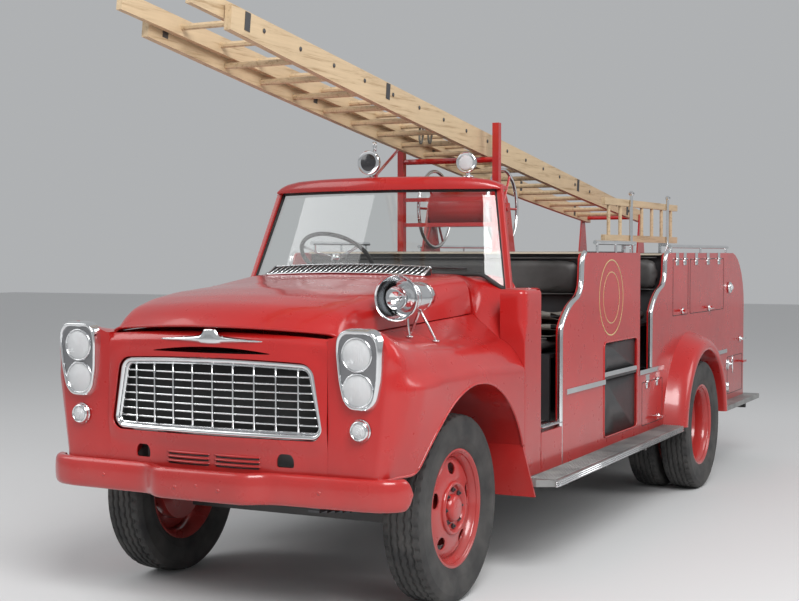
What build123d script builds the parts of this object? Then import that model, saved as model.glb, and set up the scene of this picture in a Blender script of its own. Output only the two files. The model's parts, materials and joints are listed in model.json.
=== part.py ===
# Fire engine: bonneted chassis, open crew body, wooden ladder on a gantry.
# Millimetres, nose toward -Y, nearside toward +X, tyres standing on Z = 0.
import os
from math import cos, pi, radians, sin, tan

from build123d import *

os.makedirs("parts", exist_ok=True)

# Driving dimensions of the chassis
TIP_AHEAD = 1250  # ladder tip ahead of the front axle
TAIL_BEHIND = 5740  # tail step behind the front axle
WHEELBASE = 3900
TYRE_OD = 930
TYRE_W = 210
RIM_R = 285
FRONT_HALF_TRACK = 805
TWIN_OUTER_X = 1012
TWIN_SPACING = 250
KINGPIN_X = 700
BODY_X = 1003  # outer face of the body side
COWL_HALF = 860  # the scuttle between its boxed sides
SKIN = 40  # double-skinned body side
SHEET = 14  # single pressed panel, as thick as its flange
GAP = 4  # gap around a lid or flap
SEAT_GAP = 0.3  # pieces that rest on one another

# Stations along the vehicle, from the front axle
fa = (TIP_AHEAD - TAIL_BEHIND) / 2
ra = fa + WHEELBASE
axle_z = TYRE_OD / 2
nose_y = fa - 830
wing_front_y = fa - 800
scuttle_front_y = fa + 608
wing_rear_y = scuttle_front_y - SEAT_GAP
board_front_y = wing_rear_y - 4
scuttle_rear_y = fa + 855
side_front_y = fa + 1186
side_mid_y = fa + 2664
side_rear_y = fa + 2946
body_rear_y = fa + 5640
tail_y = fa + TAIL_BEHIND

# Heights
RAIL_TOP = 735
RAIL_H = 175
BOARD_TOP = 530
BOARD_T = 38
FLOOR_TOP = 765
SIDE_TOP = 1723
BELT_Z = 935  # rub strip and sill of the rear doorway
WING_BOTTOM = 712
NOSE_BOTTOM = 690
ARCH_FRONT_R = 620
ARCH_REAR_R = 545
ARCH_SIDES = 32


def block(x0, x1, y0, y1, z0, z1, mode=Mode.ADD):
    """A box given by its faces, in the part being built."""
    with Locations(((x0 + x1) / 2, (y0 + y1) / 2, (z0 + z1) / 2)):
        return Box(x1 - x0, y1 - y0, z1 - z0, mode=mode)


def rod(start, end, radius, sides=8):
    """A bar with flat sides between two points, in the part being built."""
    axis = Vector(*end) - Vector(*start)
    plane = Plane(origin=start, z_dir=axis)
    with BuildSketch(plane) as end_face:
        RegularPolygon(radius, sides)
    extrude(end_face.sketch, amount=axis.length)


def pin(start, end, radius):
    """A round pin between two points, in the part being built."""
    axis = Vector(*end) - Vector(*start)
    with BuildSketch(Plane(origin=start, z_dir=axis)) as end_face:
        Circle(radius)
    extrude(end_face.sketch, amount=axis.length)


def turned(profile, sides):
    """Closed outline, X along the axle and Y the radius to the flats, turned in flat-sided steps."""
    rings = []
    for x, r in profile:
        corner = r / cos(pi / sides)
        angles = [2 * pi * (i + 0.5) / sides for i in range(sides)]
        rings.append([(x, corner * sin(a), corner * cos(a)) for a in angles])
    faces = []
    for k, ring in enumerate(rings):
        following = rings[(k + 1) % len(rings)]
        for i in range(sides):
            j = (i + 1) % sides
            corners = list(dict.fromkeys((ring[i], ring[j], following[j], following[i])))
            if len(corners) > 2:
                faces.append(Face(Wire.make_polygon(corners, close=True)))
    return Solid(Shell(faces))


def skinned(sections):
    """Solid of flat triangles between closed sections that have the same number of points."""
    faces = [Face(Wire.make_polygon(end, close=True)) for end in (sections[0], sections[-1])]
    for near, far in zip(sections, sections[1:]):
        for i in range(len(near)):
            j = (i + 1) % len(near)
            faces.append(Face(Wire.make_polygon((near[i], near[j], far[j]), close=True)))
            faces.append(Face(Wire.make_polygon((near[i], far[j], far[i]), close=True)))
    return Solid(Shell(faces))


def shell(outer, inner):
    """Solid between matching open sections of an outer and an inner surface, in flat triangles."""
    loops = [list(near) + list(reversed(far)) for near, far in zip(outer, inner)]
    count = len(loops[0])
    faces = []
    for near, far in zip(loops, loops[1:]):
        for i in range(count):
            j = (i + 1) % count
            faces.append(Face(Wire.make_polygon((near[i], near[j], far[j]), close=True)))
            faces.append(Face(Wire.make_polygon((near[i], far[j], far[i]), close=True)))
    for loop in (loops[0], loops[-1]):
        for i in range(count // 2 - 1):
            k = count - 1 - i
            faces.append(Face(Wire.make_polygon((loop[i], loop[i + 1], loop[k - 1]), close=True)))
            faces.append(Face(Wire.make_polygon((loop[i], loop[k - 1], loop[k]), close=True)))
    return Solid(Shell(faces))


def arc_points(start, middle, end, steps):
    """Points of an arc through three points, so that lofts have flat strips."""
    arc = Edge.make_three_point_arc(Vector(*start), Vector(*middle), Vector(*end))
    return [(point.X, point.Y) for point in (arc @ (i / steps) for i in range(steps + 1))]


def cut_corners(width, height, cut):
    """Rectangle whose corners are cut, in the sketch being built."""
    x, y = width / 2, height / 2
    Polygon((cut - x, -y), (x - cut, -y), (x, cut - y), (x, y - cut), (x - cut, y), (cut - x, y), (-x, y - cut),
            (-x, cut - y), align=None)


def save(builder, name):
    builder.part.label = name
    export_step(builder.part, "parts/" + name + ".step")


SIDES = (("left", 1), ("right", -1))

# Chassis frame: two channels, cross members and spring hangers
FRAME_X = 430
FRAME_W = 82
FRAME_WEB = 8
frame_front_y = fa - 760
frame_rear_y = body_rear_y - 60
CROSS_MEMBERS = (fa - 640, fa + 1000, fa + 1800, fa + 2600, ra - 620, ra + 620, frame_rear_y - 60)
OUTRIGGERS = (fa + 1050, fa + 1750, fa + 2550, body_rear_y - 240)  # they carry the boards
OUTRIGGER_X = 1080
outrigger_top = BOARD_TOP - BOARD_T - SEAT_GAP

with BuildPart() as chassis_frame:
    with BuildSketch(Plane.XZ.offset(-frame_front_y)):
        with Locations((FRAME_X - FRAME_W / 2, RAIL_TOP - RAIL_H / 2)):
            Rectangle(FRAME_W, RAIL_H)
        with Locations((FRAME_X - FRAME_W / 2 - FRAME_WEB, RAIL_TOP - RAIL_H / 2)):
            Rectangle(FRAME_W, RAIL_H - 2 * FRAME_WEB, mode=Mode.SUBTRACT)
    extrude(amount=frame_front_y - frame_rear_y)
    mirror(about=Plane.YZ)
    for y in CROSS_MEMBERS:
        block(-FRAME_X + FRAME_WEB, FRAME_X - FRAME_WEB, y - 30, y + 30,
              RAIL_TOP - RAIL_H + 90, RAIL_TOP - FRAME_WEB)
    for y in OUTRIGGERS:
        for s in (-1, 1):
            x0, x1 = sorted((s * OUTRIGGER_X, s * (FRAME_X - 60)))
            block(x0, x1, y - 20, y + 20, outrigger_top - 50, outrigger_top)
            x0, x1 = sorted((s * FRAME_X, s * (FRAME_X - 60)))
            block(x0, x1, y - 20, y + 20, outrigger_top - 50, RAIL_TOP - RAIL_H)
save(chassis_frame, "chassis_frame")

FRONT_BEAM_Z = 400
FRONT_BEAM_H = 70
REAR_TUBE_R = 55
front_pad_z = FRONT_BEAM_Z + FRONT_BEAM_H / 2
rear_pad_z = axle_z + REAR_TUBE_R - 4
# Front axle: dropped beam with fork ends that hold the kingpins
FORK_H = 150
KINGPIN_R = 20
BUSH_SIDES = 12
with BuildPart() as front_axle:
    block(-KINGPIN_X + 60, KINGPIN_X - 60, fa - 40, fa + 40,
          FRONT_BEAM_Z - FRONT_BEAM_H / 2, FRONT_BEAM_Z + FRONT_BEAM_H / 2)
    for s in (-1, 1):
        x0, x1 = sorted((s * (KINGPIN_X - 90), s * (KINGPIN_X - 45)))
        block(x0, x1, fa - 40, fa + 40, FRONT_BEAM_Z - FRONT_BEAM_H / 2, axle_z + 40)
        with BuildSketch(Plane.XY.offset(axle_z - 40)):
            with Locations((s * KINGPIN_X, fa)):
                RegularPolygon(38, 8)
            with Locations((s * (KINGPIN_X - 35), fa)):
                Rectangle(60, 60)
        extrude(amount=80)
        pin((s * KINGPIN_X, fa, axle_z - FORK_H / 2), (s * KINGPIN_X, fa, axle_z + FORK_H / 2), KINGPIN_R)
save(front_axle, "front_axle")

# Steering knuckles: yoke around the kingpin and the stub axle
STUB_R = 28
bush_r = (KINGPIN_R + 0.3) / cos(pi / BUSH_SIDES)
for name, s in SIDES:
    with BuildPart() as knuckle:
        for z in (axle_z + 42, axle_z - 74):
            with BuildSketch(Plane.XY.offset(z)):
                RegularPolygon(44, 8)
                RegularPolygon(bush_r, BUSH_SIDES, mode=Mode.SUBTRACT)
            extrude(amount=32)
        block(40, 60, -38, 38, axle_z - 74, axle_z + 74)
        pin((58, 0, axle_z), (FRONT_HALF_TRACK - KINGPIN_X + 60, 0, axle_z), STUB_R)
        if s < 0:
            mirror(about=Plane.YZ, mode=Mode.REPLACE)
    knuckle_part = Pos(s * KINGPIN_X, fa, 0) * knuckle.part
    knuckle_part.label = "knuckle_" + name
    export_step(knuckle_part, "parts/knuckle_" + name + ".step")

# Road wheels: pressed disc with round hand holes, rim and hub
WHEEL_SIDES = 24
HUB_SIDES = 10
HUB_R = 90
RIM_W = 150
RIM_EDGE_R = RIM_R + 8
RIM_WELL_R = RIM_R - 37
DISC_T = 12
HAND_HOLES = 5
HAND_HOLE_R = 38
HAND_HOLE_AT = 178
STUB_CLEAR = 0.5


def rim_ring(x, well_x):
    """Wheel rim centred at x on the axle, plain where the tyre hides it, its well from well_x inward."""
    half = RIM_W / 2
    add(turned(((x - half, RIM_EDGE_R), (x + half, RIM_EDGE_R), (x + half, RIM_R - 14), (well_x, RIM_WELL_R),
                (x - half, RIM_WELL_R)), WHEEL_SIDES))


def disc(points):
    """Pressed disc, as thick as DISC_T along the axle."""
    back = [(x - DISC_T, r) for x, r in reversed(points)]
    add(turned(list(points) + back, WHEEL_SIDES))


def hand_holes(x0, x1):
    with BuildSketch(Plane.YZ.offset(x0)) as holes:
        with PolarLocations(HAND_HOLE_AT, HAND_HOLES, start_angle=18):
            RegularPolygon(HAND_HOLE_R, 10)
    extrude(holes.sketch, amount=x1 - x0, mode=Mode.SUBTRACT)


def hub(points):
    add(turned(points, HUB_SIDES))


def tyre_ring(x):
    """Tyre seated just outside the rim, its shoulders and bulge as flats."""
    add(turned([(x + along, r) for along, r in TYRE_SECTION], WHEEL_SIDES))


bead_r = RIM_EDGE_R + SEAT_GAP
TYRE_SECTION = (  # along the axle, radius
    (-RIM_W / 2 + 2, bead_r), (-TYRE_W / 2, 395), (-TYRE_W / 2 + 18, TYRE_OD / 2),
    (TYRE_W / 2 - 18, TYRE_OD / 2), (TYRE_W / 2, 395), (RIM_W / 2 - 2, bead_r),
)
with BuildPart() as front_disc:
    rim_ring(0, 36)
    disc(((30, RIM_WELL_R + 4), (48, 228), (48, HUB_R - 10)))
    hand_holes(0, 90)
    hub(((-38, STUB_R + STUB_CLEAR), (-38, HUB_R), (62, HUB_R), (66, 62), (88, 58), (88, 0), (70, 0),
         (70, STUB_R + STUB_CLEAR)))
with BuildPart() as front_tyre:
    tyre_ring(0)
twin_half = TWIN_SPACING / 2
with BuildPart() as twin_disc:
    for x in (-twin_half, twin_half):
        rim_ring(x, x + 36)
    disc(((twin_half - 36, RIM_WELL_R + 4), (DISC_T, 228), (DISC_T, HUB_R - 10)))
    disc(((0, HUB_R - 10), (0, 228), (-twin_half + 42, RIM_WELL_R + 4)))
    hand_holes(-90, 90)
    hub(((-70, REAR_TUBE_R + 0.5), (-70, HUB_R), (60, HUB_R), (60, 70), (95, 62), (95, 0), (40, 0),
         (40, REAR_TUBE_R + 0.5)))
with BuildPart() as twin_tyres:
    for x in (-twin_half, twin_half):
        tyre_ring(x)

twin_x = TWIN_OUTER_X - twin_half
WHEELS = (  # node ending, disc, tyre, x of the wheel centre, y
    ("front", front_disc, front_tyre, FRONT_HALF_TRACK, fa),
    ("rear", twin_disc, twin_tyres, twin_x, ra),
)
for place, disc_builder, tyre_builder, x, y in WHEELS:
    for name, s in SIDES:
        facing = Rot(0, 0, 0 if s > 0 else 180)
        for kind, piece in (("wheel", disc_builder), ("tyre", tyre_builder)):
            placed = Pos(s * x, y, axle_z) * facing * piece.part
            placed.label = "_".join((kind, place, name))
            export_step(placed, "parts/" + placed.label + ".step")

# Rear axle: tube with the differential bowl
BOWL = ((-200, 50), (-120, 150), (-40, 188), (40, 188), (120, 150), (200, 50))  # along the axle, radius
with BuildPart() as rear_axle:
    pin((-twin_x - 38, ra, axle_z), (twin_x + 38, ra, axle_z), REAR_TUBE_R)
    add(Pos(0, ra, axle_z) * turned(BOWL, HUB_SIDES))
save(rear_axle, "rear_axle")

# Leaf springs, one stack of leaves per corner
SPRING_X = 400
SPRING_W = 60
FRONT_SPRING = 560
REAR_SPRING = 680
LEAF_T = 12


def leaf_stack(centre_y, half_length, leaves, pad_z):
    """Leaves that shorten toward the axle, with shackles up to the frame."""
    for i in range(leaves):
        reach = half_length * (1 - 0.8 * i / leaves)
        top = pad_z + LEAF_T * (leaves - i)
        block(SPRING_X - SPRING_W / 2, SPRING_X + SPRING_W / 2,
              centre_y - reach, centre_y + reach, top - LEAF_T, top)
    stack_top = pad_z + LEAF_T * leaves
    for end in (-1, 1):
        y = centre_y + end * (half_length - 30)
        block(SPRING_X - SPRING_W / 2, SPRING_X + SPRING_W / 2,
              y - 25, y + 25, stack_top, RAIL_TOP - RAIL_H)


with BuildPart() as springs:
    leaf_stack(fa, FRONT_SPRING, 6, front_pad_z)
    leaf_stack(ra, REAR_SPRING, 3, rear_pad_z)
    mirror(about=Plane.YZ)
    add(rear_axle.part, mode=Mode.SUBTRACT)
save(springs, "leaf_springs")

# Propeller shaft with its centre bearing
SHAFT_R = 38
gearbox_rear_y = fa + 900
with BuildPart() as prop_shaft:
    rod((0, gearbox_rear_y + 2.5, 600), (0, ra - 170, axle_z), SHAFT_R)
    add(rear_axle.part, mode=Mode.SUBTRACT)
save(prop_shaft, "propeller_shaft")

# Engine and gearbox, one plain block behind the radiator
with BuildPart() as engine:
    block(-260, 260, fa - 560, fa + 420, RAIL_TOP - RAIL_H - 20, 1240)
    block(-170, 170, fa + 420, gearbox_rear_y, 520, RAIL_TOP - 5)
save(engine, "engine_block")

# Front bumper: pressed channel whose middle stands forward and low
BUMPER_PATH = (  # x, y from the front axle
    (0, -945), (225, -942), (262, -930), (300, -900), (338, -874), (380, -866), (820, -848), (905, -828),
    (960, -790), (985, -740), (989, -700))
BUMPER_PROFILE = (  # depth behind the face, z
    (0, 588), (0, 706), (14, 722), (45, 722), (45, 712), (12, 702), (12, 592), (45, 582), (45, 572), (14, 572))
BUMPER_TOP = 722
BUMPER_WEB = 12
bumper_side_y = fa - 866


def channel_sections(path, profile):
    """Sections of a channel along a plan path, each square to the path where it stands."""
    sections = []
    for k, (x, y) in enumerate(path):
        before = path[max(k - 1, 0)]
        after = path[min(k + 1, len(path) - 1)]
        along = Vector(after[0] - before[0], after[1] - before[1]).normalized()
        sections.append([(x - along.Y * depth, fa + y + along.X * depth, z) for depth, z in profile])
    return sections


with BuildPart() as front_bumper:
    far_side = [(-x, y) for x, y in reversed(BUMPER_PATH[1:])]
    add(skinned(channel_sections(far_side + list(BUMPER_PATH), BUMPER_PROFILE)))
    for s in (-1, 1):
        x = s * (FRAME_X - 25)
        block(x - 30, x + 30, bumper_side_y + BUMPER_WEB / 2, frame_front_y, 600, 685)
save(front_bumper, "front_bumper")

# Nose panel, bowed in plan, with the grille opening, the air slot above it and louvres below
NOSE_X = 610
NOSE_TOP = 1335
NOSE_CROWN = 1358
NOSE_BOW = 42  # the middle stands ahead of the sides
NOSE_T = 60
NOSE_STEPS = 8
nose_side_y = nose_y + NOSE_BOW
GRILLE_LOW_X = 596
GRILLE_TOP_X = 538
GRILLE_Z0 = 868
GRILLE_Z1 = 1222
GRILLE_CROWN = 12
GRILLE_ROUND = 62
SLOT = (367, 1253, 1275)  # half width, z
LOUVRE_Z = (732, 749, 766)
LOUVRE = (235, 9)
HOOK_HOLE_X = 398
HOOK_HOLE = ((-44, 742), (44, 742), (44, 782), (26, 804), (-26, 804), (-44, 782))


def grille_outline(grow, mode=Mode.ADD):
    """Grille opening grown on every side: a trapezoid with round corners and a crowned top."""
    round_off = GRILLE_ROUND + grow
    low, top = GRILLE_LOW_X + grow, GRILLE_TOP_X + grow
    z0, z1 = GRILLE_Z0 - grow, GRILLE_Z1 + grow
    lean = (low - top) / (z1 - z0)
    foot = low - lean * round_off
    head = top + lean * round_off
    right = arc_points((low - round_off, z0), (foot - 0.25 * round_off, z0 + 0.32 * round_off),
                       (foot, z0 + round_off), 3)
    right += arc_points((head, z1 - round_off), (top - 0.27 * round_off, z1 - 0.27 * round_off),
                        (top - round_off, z1), 3)
    Polygon(*right, (0, z1 + GRILLE_CROWN), *((-x, z) for x, z in reversed(right)), align=None, mode=mode)


with BuildPart() as nose:
    with BuildSketch(Plane.XY.offset(NOSE_BOTTOM)):
        with BuildLine():
            bow = arc_points((-NOSE_X, nose_side_y), (0, nose_y), (NOSE_X, nose_side_y), NOSE_STEPS)
            Polyline(*bow, *((x, y + NOSE_T) for x, y in reversed(bow)), close=True)
        make_face()
    extrude(amount=NOSE_CROWN - NOSE_BOTTOM)
    with BuildSketch(Plane.XZ.offset(-nose_y + 10)):
        with BuildLine():
            crown = arc_points((-NOSE_X, NOSE_TOP), (0, NOSE_CROWN), (NOSE_X, NOSE_TOP), NOSE_STEPS)
            Polyline(*crown, (NOSE_X, NOSE_CROWN + 5), (-NOSE_X, NOSE_CROWN + 5), close=True)
        make_face()
        grille_outline(0)
        with Locations((0, (SLOT[1] + SLOT[2]) / 2)):
            cut_corners(2 * SLOT[0], SLOT[2] - SLOT[1], 8)
        for z in LOUVRE_Z:
            with Locations((-125, z), (148, z)):
                Rectangle(*LOUVRE)
        for x in (-HOOK_HOLE_X, HOOK_HOLE_X):
            Polygon(*((x + a, b) for a, b in HOOK_HOLE), align=None)
    extrude(amount=-NOSE_T - NOSE_BOW - 20, mode=Mode.SUBTRACT)
    # notches over the ends of the frame rails
    for s in (-1, 1):
        x0, x1 = sorted((s * (FRAME_X - FRAME_W - SEAT_GAP), s * (FRAME_X + SEAT_GAP)))
        block(x0, x1, frame_front_y - SEAT_GAP, fa - 700, NOSE_BOTTOM - 1, RAIL_TOP + SEAT_GAP,
              mode=Mode.SUBTRACT)
save(nose, "nose_panel")

# Grille: stepped bright frame sunk in the nose, upright bars ahead of cross bars
BAR = 9
UPRIGHTS = 9
CROSSBARS = 7
BAR_LAP = 30  # the bars run into the frame
ORNAMENT = ((34, 1299), (58, 1308), (150, 1311), (285, 1317), (150, 1329), (66, 1334), (46, 1350))
ORNAMENT_PROUD = 12
grille_y = nose_side_y + 4
FRAME_RINGS = (  # outer and inner inset from the opening, setback, depth
    (SEAT_GAP, 30, 0, 30),
    (24, 38, 10, 20),
)
with BuildPart() as grille:
    for outer, inner, setback, depth in FRAME_RINGS:
        with BuildSketch(Plane.XZ.offset(-grille_y - setback)):
            grille_outline(-outer)
            grille_outline(-inner, mode=Mode.SUBTRACT)
        extrude(amount=-depth)
    pitch = 2 * (GRILLE_LOW_X - BAR_LAP) / (UPRIGHTS + 1)
    for i in range(UPRIGHTS):
        x = (i - (UPRIGHTS - 1) / 2) * pitch
        block(x - BAR / 2, x + BAR / 2, grille_y + 6, grille_y + 18, GRILLE_Z0 + BAR_LAP, GRILLE_Z1 - BAR_LAP)
    rise = (GRILLE_Z1 - GRILLE_Z0 - 2 * BAR_LAP) / (CROSSBARS + 1)
    for i in range(CROSSBARS):
        z = GRILLE_Z0 + BAR_LAP + rise * (i + 1)
        share = (z - GRILLE_Z0) / (GRILLE_Z1 - GRILLE_Z0)
        reach = GRILLE_LOW_X - BAR_LAP - (GRILLE_LOW_X - GRILLE_TOP_X) * share
        block(-reach, reach, grille_y + 18.5, grille_y + 28, z - BAR / 2, z + BAR / 2)
    # plain winged ornament on the nose, above the air slot
    with BuildSketch(Plane.XZ.offset(-nose_y + ORNAMENT_PROUD)):
        Polygon(*ORNAMENT, *((-x, z) for x, z in reversed(ORNAMENT)), align=None)
    extrude(amount=-ORNAMENT_PROUD - NOSE_BOW)
    add(nose.part, mode=Mode.SUBTRACT)
save(grille, "grille")

# Radiator core behind the grille, standing on the frame rails
with BuildPart() as radiator:
    block(-420, 420, fa - 744, fa - 690, RAIL_TOP + SEAT_GAP, 1245)
save(radiator, "radiator")

# Bonnet and wing sections share the seam between them
WING_INNER = NOSE_X + SEAT_GAP
BONNET_SECTIONS = (  # y behind the axle; x, z of the seam, side and top; crown z
    (-842, (625, NOSE_TOP + SEAT_GAP), (618, 1347), (575, 1355), 1381),
    (-790, (626, 1337), (618, 1375), (560, 1412), 1438),
    (-710, (629, 1339), (619, 1410), (545, 1457), 1482),
    (-560, (634, 1343), (622, 1438), (545, 1492), 1518),
    (-340, (643, 1350), (628, 1455), (550, 1519), 1546),
    (0, (660, 1365), (645, 1475), (560, 1541), 1570),
    (440, (689, 1386), (672, 1525), (590, 1590), 1606),
    (596, (700, 1396), (684, 1545), (600, 1600), 1611),
)
WING_SECTIONS = (  # y behind the axle; x, z of the seam, crown, bend, ledge and flare; x at the bottom
    (-795, (629, 1335), (790, 1388), (885, 1345), (897, 1205), (895, 1110), 855),
    (-785, (630, 1335), (792, 1386), (905, 1335), (926, 1203), (926, 1110), 880),
    (-755, (631, 1336), (796, 1381), (920, 1322), (948, 1198), (954, 1110), 895),
    (-700, (633, 1338), (805, 1360), (930, 1298), (958, 1188), (982, 1110), 905),
    (-600, (637, 1340), (820, 1335), (930, 1272), (963, 1178), (1003, 1118), 930),
    (-400, (645, 1346), (825, 1305), (932, 1247), (964, 1180), (1003, 1140), 975),
    (0, (666, 1363), (832, 1285), (930, 1228), (964, 1185), (1003, 1148), 1003),
    (wing_rear_y - fa, (705, 1394), (850, 1272), (938, 1212), (970, 1160), (1003, 1118), 1003),
)
SPLASH_OUTLINE = ((620, 440), (1070, 440), (1003, 690), (1003, WING_BOTTOM), (620, WING_BOTTOM))
with BuildPart() as wings:
    sections = []
    for y, seam, crown, bend, ledge, flare, bottom_x in WING_SECTIONS:
        outline = [(bottom_x, WING_BOTTOM), (WING_INNER, WING_BOTTOM), (WING_INNER, seam[1]), seam]
        outline += arc_points(crown, bend, ledge, 5) + [flare]
        sections.append([(x, fa + y, z) for x, z in outline])
    add(skinned(sections))
    with BuildSketch(Plane.YZ.offset(WING_INNER - 5)):
        with Locations((fa + 20, axle_z)):
            RegularPolygon(ARCH_FRONT_R, ARCH_SIDES)
    extrude(amount=BODY_X, mode=Mode.SUBTRACT)
    # room for the wrapped-round ends of the bumper
    block(WING_INNER, BODY_X, wing_front_y, fa - 775, WING_BOTTOM - 1, BUMPER_TOP + 1, mode=Mode.SUBTRACT)
    # splash panels ahead of the running boards
    with BuildSketch(Plane.XZ.offset(-board_front_y)):
        Polygon(*SPLASH_OUTLINE, align=None)
    extrude(amount=SHEET)
    block(620, COWL_HALF - 5, board_front_y - 1, board_front_y + 14, BOARD_TOP - BOARD_T, WING_BOTTOM - 1)
    mirror(about=Plane.YZ)
save(wings, "front_wings")

# Headlamps in upright pairs, and the round parking lamps below them
LAMP_X = 776
LAMP_Z = (1270, 1110)
LAMP_R = 73
LAMP_SIDES = 16
PARKING_AT = (780, 930)
PARKING_SIDES = 12
BEZEL_X = 780
BEZEL_Z = 1200
BEZEL_LOW = 1015
BEZEL_OUTLINE = (  # from BEZEL_X, z: wide at the top, drawn in below
    (-80, 1385), (80, 1385), (112, 1350), (117, 1290), (106, 1150), (86, 1055),
    (50, BEZEL_LOW), (-50, BEZEL_LOW), (-86, 1055), (-106, 1150), (-117, 1290), (-112, 1350))
BEZEL_FRONT = (0.88, 0.93)  # front outline against the back one, across and upright
BEZEL_DEPTH = 26
BEZEL_HOOD = 0.06  # the top stands further forward
bezel_y = wing_front_y + 5


def bezel_front(x, z):
    """Point of the bezel's front outline for a point of its back outline."""
    up = BEZEL_Z + BEZEL_FRONT[1] * (z - BEZEL_Z)
    return (BEZEL_X + BEZEL_FRONT[0] * x, bezel_y - BEZEL_DEPTH - BEZEL_HOOD * (up - BEZEL_LOW), up)


with BuildPart() as bezels:
    back = [(BEZEL_X + x, bezel_y, z) for x, z in BEZEL_OUTLINE]
    add(skinned([back, [bezel_front(x, z) for x, z in BEZEL_OUTLINE]]))
    with BuildSketch(Plane.XZ.offset(-bezel_y - 5)):
        with Locations(*((LAMP_X, z) for z in LAMP_Z)):
            RegularPolygon(LAMP_R + 2, LAMP_SIDES)
    extrude(amount=70, mode=Mode.SUBTRACT)
    with BuildSketch(Plane.XZ.offset(-bezel_y)):
        with Locations(PARKING_AT):
            RegularPolygon(50, PARKING_SIDES)
            RegularPolygon(36, PARKING_SIDES, mode=Mode.SUBTRACT)
    extrude(amount=24)
    mirror(about=Plane.YZ)
save(bezels, "lamp_bezels")
with BuildPart() as lenses:
    with BuildSketch(Plane.XZ.offset(-bezel_y)):
        with Locations(*((LAMP_X, z) for z in LAMP_Z)):
            RegularPolygon(LAMP_R + 1.7, LAMP_SIDES)
    extrude(amount=14)
    with BuildSketch(Plane.XZ.offset(-bezel_y)):
        with Locations(PARKING_AT):
            RegularPolygon(35.7, PARKING_SIDES)
    extrude(amount=30)
    mirror(about=Plane.YZ)
save(lenses, "lamp_lenses")

# Bonnet: a crowned pressing with turned-down sides, hinged at the scuttle
BONNET_T = 14
CROWN_STEPS = 8
LIP_BOW = 100  # the middle of the front lip stands ahead of its corners
BOW_FADES = -300  # y behind the axle where the bow has faded out
BONNET_HINGE = (fa + 600, 1603)
HINGE_R = 7.2
SEAM_GAP = 4  # shut line between the bonnet and the wings


def bonnet_sections(inset):
    """Open sections of the bonnet from seam to seam, drawn in by the inset."""
    sections = []
    for y, seam, side, top, crown_z in BONNET_SECTIONS:
        shoulder = (side[0] - 0.3 * (side[0] - top[0]) - inset, side[1] + 0.7 * (top[1] - side[1]) - inset)
        right = [(seam[0] - inset, seam[1] + SEAM_GAP), (side[0] - inset, side[1] - 0.3 * inset), shoulder]
        crown = arc_points((top[0] - 0.6 * inset, top[1] - inset), (0, crown_z - inset),
                           (0.6 * inset - top[0], top[1] - inset), CROWN_STEPS)
        outline = right + crown + [(-x, z) for x, z in reversed(right)]
        bow = LIP_BOW * min(1, max(0, (BOW_FADES - y) / (BOW_FADES - BONNET_SECTIONS[0][0])))
        sections.append([(x, fa + y + bow * (x / NOSE_X) ** 2, z) for x, z in outline])
    return sections


with BuildPart() as bonnet:
    add(shell(bonnet_sections(0), bonnet_sections(BONNET_T)))
    pin((-120, *BONNET_HINGE), (120, *BONNET_HINGE), HINGE_R)
save(bonnet, "bonnet")

# Scuttle: firewall, top panel, dash and the boxed sides behind the wings
SCUTTLE_TOP = 1528
COWL_T = 16
COWL_SECTIONS = (  # y; x, z of the edge, foot, side and top on one side; crown z
    (scuttle_front_y, (COWL_HALF, 1266), (712, 1390), (690, 1540), (600, 1600), 1611),
    (scuttle_rear_y, (COWL_HALF, 1490), (857, 1520), (835, 1572), (700, 1600), 1620),
)
DASH_Z = 1352


def cowl_form(inset, bottom):
    """Solid of the scuttle top, drawn in by the inset, down to the bottom."""
    sections = []
    for y, edge, foot, side, top, crown_z in COWL_SECTIONS:
        right = [(edge[0], bottom), (edge[0], edge[1] - inset)]
        right += [(x - inset, z - inset) for x, z in (foot, side)]
        crown = arc_points((top[0] - inset, top[1] - inset), (0, crown_z - inset),
                           (inset - top[0], top[1] - inset), CROWN_STEPS)
        outline = right + crown + [(-x, z) for x, z in reversed(right)]
        sections.append([(x, y, z) for x, z in outline])
    return skinned(sections)


with BuildPart() as cowl_fill:
    add(cowl_form(0, DASH_Z - 30))
with BuildPart() as cowl:
    add(cowl_form(0, FLOOR_TOP + SEAT_GAP))
    with BuildPart(mode=Mode.SUBTRACT):
        add(cowl_form(COWL_T, FLOOR_TOP - 5))
        block(-COWL_HALF, COWL_HALF, scuttle_front_y - 5, scuttle_front_y + SHEET, FLOOR_TOP - 10, 1700,
              mode=Mode.SUBTRACT)
        block(-COWL_HALF, COWL_HALF, scuttle_rear_y - SHEET, scuttle_rear_y + 5, DASH_Z, 1700,
              mode=Mode.SUBTRACT)
    for s in (-1, 1):
        x0, x1 = sorted((s * (COWL_HALF - 0.001), s * BODY_X))
        block(x0, x1, scuttle_front_y, scuttle_rear_y, BOARD_TOP + SEAT_GAP, SCUTTLE_TOP)
        x0, x1 = sorted((s * (COWL_HALF - 0.001), s * (BODY_X - SKIN)))
        block(x0, x1, scuttle_front_y + SHEET, scuttle_rear_y + 1, BOARD_TOP - 1, SCUTTLE_TOP - SHEET,
              mode=Mode.SUBTRACT)
save(cowl, "scuttle")

# Windscreen: one bowed pane in a frame with a deep header
SCREEN_LOW = (836, fa + 795, 1500)  # half width, y at the ends, z
SCREEN_HIGH = (705, fa + 964, 2075)
BOW_LOW = 190
BOW_HIGH = 150
GLASS_T = 6
PILLAR = 34
HEADER_DEPTH = 110
header_z = SCREEN_HIGH[2] + SEAT_GAP
HEADER_TOPS = (  # x, top of the header, rounded down at the ends
    (722, 2094), (700, 2112), (650, 2130), (550, 2144), (360, 2150), (180, 2152), (0, 2153))
HEADER_TOP = HEADER_TOPS[-1][1]


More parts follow.
